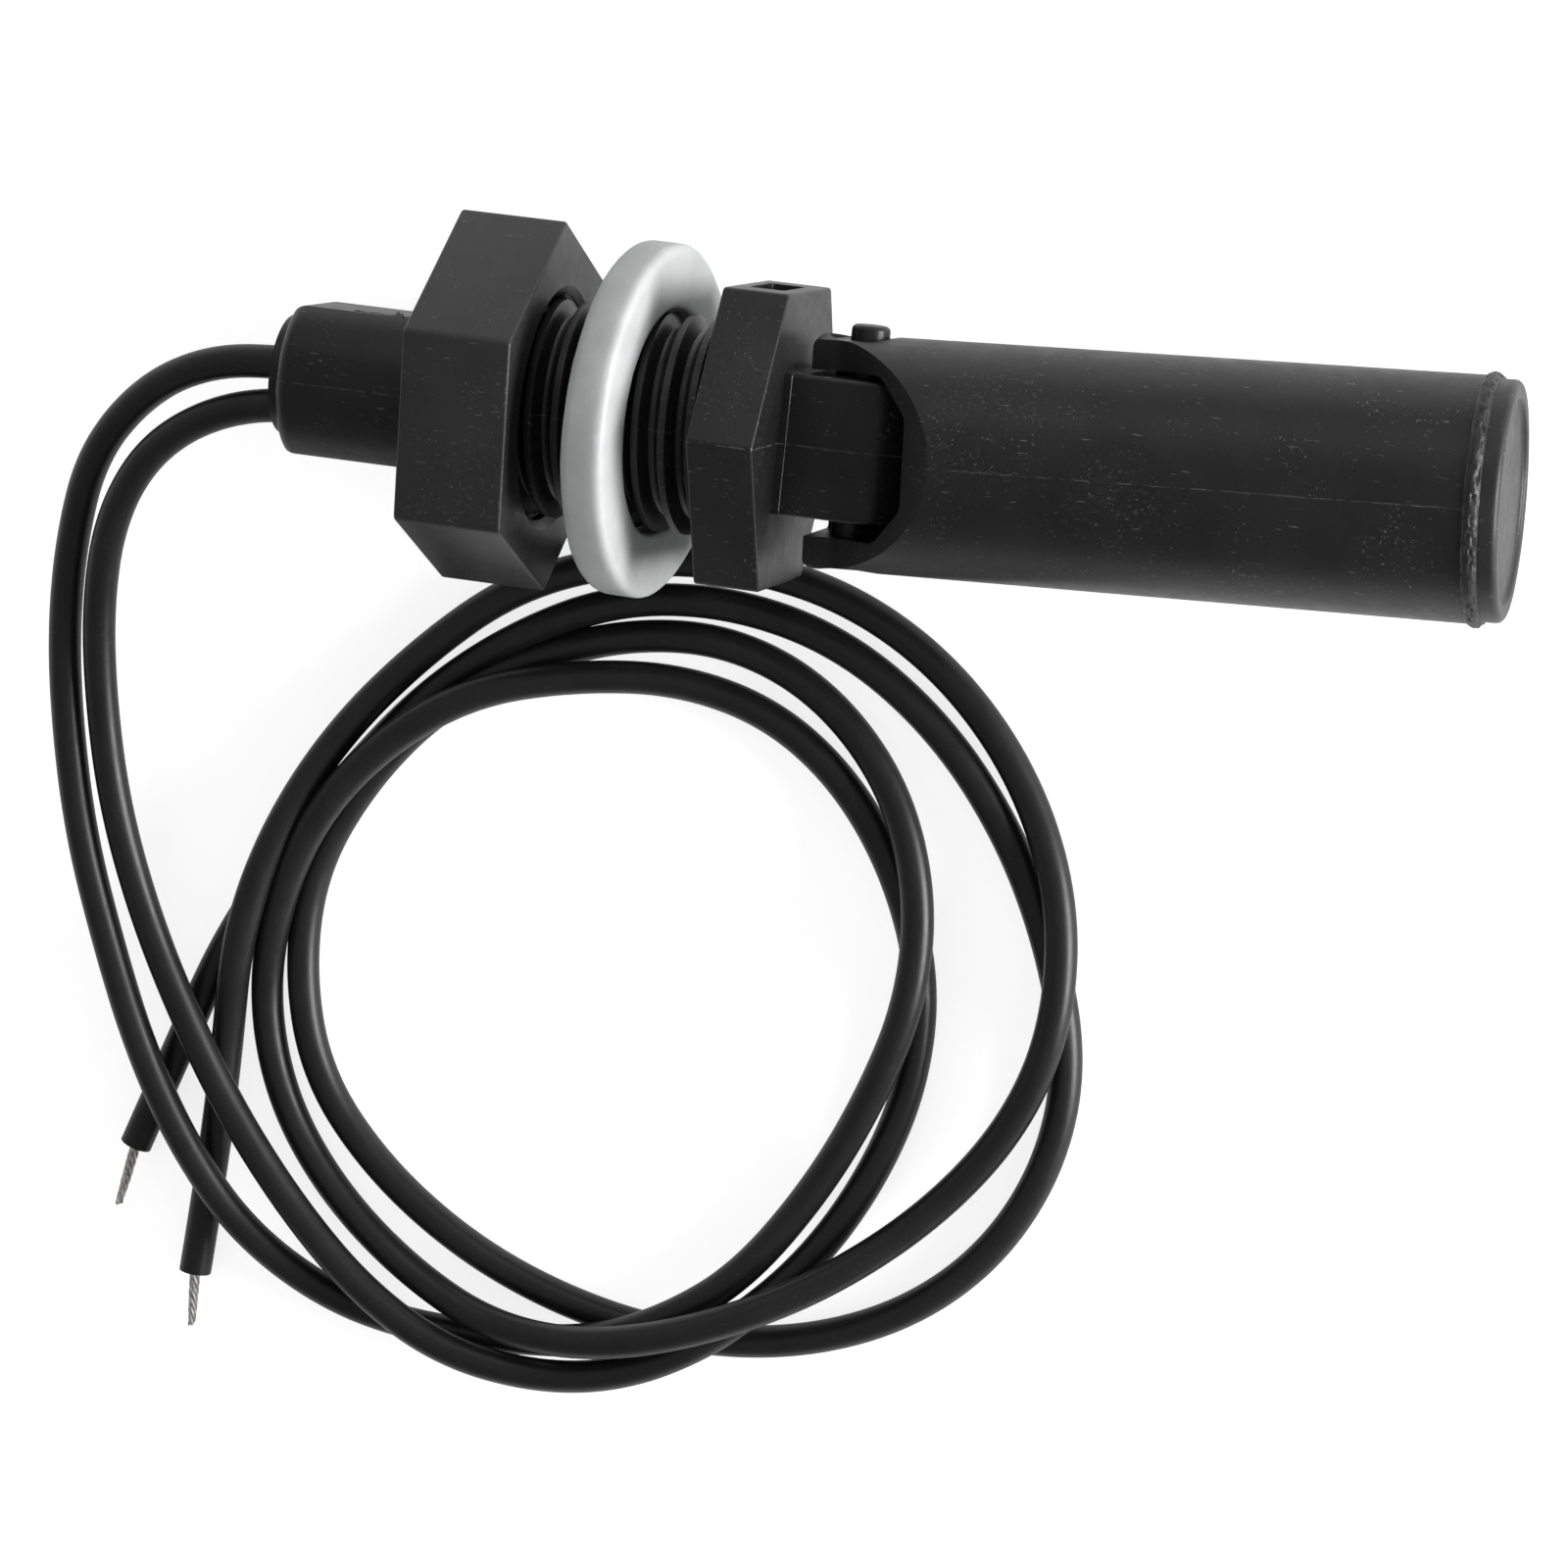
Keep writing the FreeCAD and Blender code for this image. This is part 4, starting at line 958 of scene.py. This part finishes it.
reed_alloy = metal("reed_alloy", (0.50, 0.48, 0.42), (0.68, 0.66, 0.60), 0.30)
solder = metal("solder", (0.36, 0.36, 0.36), (0.66, 0.66, 0.65), 0.34, 0.010)
magnet_nickel = metal("magnet_nickel", (0.30, 0.30, 0.31), (0.46, 0.46, 0.47), 0.36, 0.006)
dressed(clear_glass("sealing_glass"), "reed_glass")
dressed(reed_alloy, "reed_near", "reed_far")
dressed(solder, "solder_a", "solder_b")
dressed(magnet_nickel, "float_magnet")
dressed(tinned_copper, "strand_a", "strand_b")
dressed(plastic("sleeve_plastic", 0.30, 0.42, 0.50, 0.004, 0.2), "return_sleeve")
dressed(plastic("shrink_plastic", 0.012, 0.020, 0.60, 0.010, 0.3), "shrink_a", "shrink_b")
dressed(plastic("potting_resin", 0.020, 0.045, 0.30, 0.020, 0.5), "potting_resin")

# ---------------------------------------------------------------------------
# Bench and light: a pale floor, a dim softbox beyond it and a stronger one at
# its right. The room round them is palest near the horizon and darker on the
# near side, so that the black plastic has a soft sheen.

FLOOR_DROP = 0.02 * MM
FLOOR_SIZE = 6.0
PALE_PAPER = (0.8, 0.8, 0.8)
HORIZON = 0.38
ZENITH = 0.25
NEAR_SHARE = 0.6
FLOOR_GLOW = 0.8
SHEEN_SHARE = 0.55


def background_seen(tree):
    """1 for a ray straight from the camera or through glass, less for one off a sheen."""
    path = tree.nodes.new("ShaderNodeLightPath")
    sheen = calculated(tree, "MULTIPLY", path.outputs["Is Glossy Ray"], SHEEN_SHARE)
    seen = calculated(tree, "MAXIMUM", path.outputs["Is Camera Ray"], sheen)
    return calculated(tree, "MAXIMUM", seen, path.outputs["Is Transmission Ray"])


def make_floor():
    """A pale sheet just under the switch, which shows white and keeps the shadow."""
    level = cad_box[0][2] - FLOOR_DROP
    bpy.ops.mesh.primitive_plane_add(size=FLOOR_SIZE, location=(0, 0, level))
    floor = bpy.context.object
    floor.name = "bench"
    material = bpy.data.materials.new("bench_white")
    material.use_nodes = True
    tree = material.node_tree
    tree.nodes.clear()
    paper = tree.nodes.new("ShaderNodeBsdfDiffuse")
    paper.inputs["Color"].default_value = (*PALE_PAPER, 1)
    glow = tree.nodes.new("ShaderNodeEmission")
    glow.inputs["Color"].default_value = (1, 1, 1, 1)
    strength = calculated(tree, "MULTIPLY", background_seen(tree), FLOOR_GLOW)
    tree.links.new(strength, glow.inputs["Strength"])
    both = tree.nodes.new("ShaderNodeAddShader")
    tree.links.new(paper.outputs[0], both.inputs[0])
    tree.links.new(glow.outputs[0], both.inputs[1])
    out = tree.nodes.new("ShaderNodeOutputMaterial")
    tree.links.new(both.outputs[0], out.inputs["Surface"])
    floor.data.materials.append(material)


def make_world():
    """A plain pale room that lights the switch, white where the camera sees it."""
    world = bpy.data.worlds.new("studio")
    bpy.context.scene.world = world
    world.use_nodes = True
    tree = world.node_tree
    tree.nodes.clear()
    room = tree.nodes.new("ShaderNodeBackground")
    room.inputs["Color"].default_value = (1, 1, 1, 1)
    direction = tree.nodes.new("ShaderNodeSeparateXYZ")
    tree.links.new(tree.nodes.new("ShaderNodeTexCoord").outputs["Generated"], direction.inputs[0])
    height = stepped(tree, direction.outputs["Z"], 0.15, 0.95)
    strength = calculated(tree, "MULTIPLY_ADD", height, ZENITH - HORIZON, HORIZON)
    away = stepped(tree, direction.outputs["Y"], -0.7, 0.1)
    shaded = calculated(tree, "MULTIPLY_ADD", away, 1.0 - NEAR_SHARE, NEAR_SHARE)
    strength = calculated(tree, "MULTIPLY", strength, shaded)
    tree.links.new(strength, room.inputs["Strength"])
    white = tree.nodes.new("ShaderNodeBackground")
    white.inputs["Color"].default_value = (1, 1, 1, 1)
    white.inputs["Strength"].default_value = 1.0
    mix = tree.nodes.new("ShaderNodeMixShader")
    path = tree.nodes.new("ShaderNodeLightPath")
    tree.links.new(path.outputs["Is Camera Ray"], mix.inputs[0])
    tree.links.new(room.outputs[0], mix.inputs[1])
    tree.links.new(white.outputs[0], mix.inputs[2])
    out = tree.nodes.new("ShaderNodeOutputWorld")
    tree.links.new(mix.outputs[0], out.inputs["Surface"])


def make_lamp(name, place, target, size, power):
    """A softbox of the given width and height in metres, turned towards the target."""
    data = bpy.data.lights.new(name, "AREA")
    data.shape = "RECTANGLE"
    data.size = size[0]
    data.size_y = size[1]
    data.energy = power
    lamp = bpy.data.objects.new(name, data)
    bpy.context.scene.collection.objects.link(lamp)
    lamp.location = place
    lamp.rotation_euler = (Vector(target) - Vector(place)).to_track_quat("-Z", "Y").to_euler()


make_floor()
make_world()
make_lamp("far_softbox", (-0.05, 0.62, 0.46), (0, 0, 0), (0.6, 0.35), 0.3)
make_lamp("right_softbox", (0.70, 0.05, 0.16), (0, 0, 0), (0.5, 0.3), 6.5)
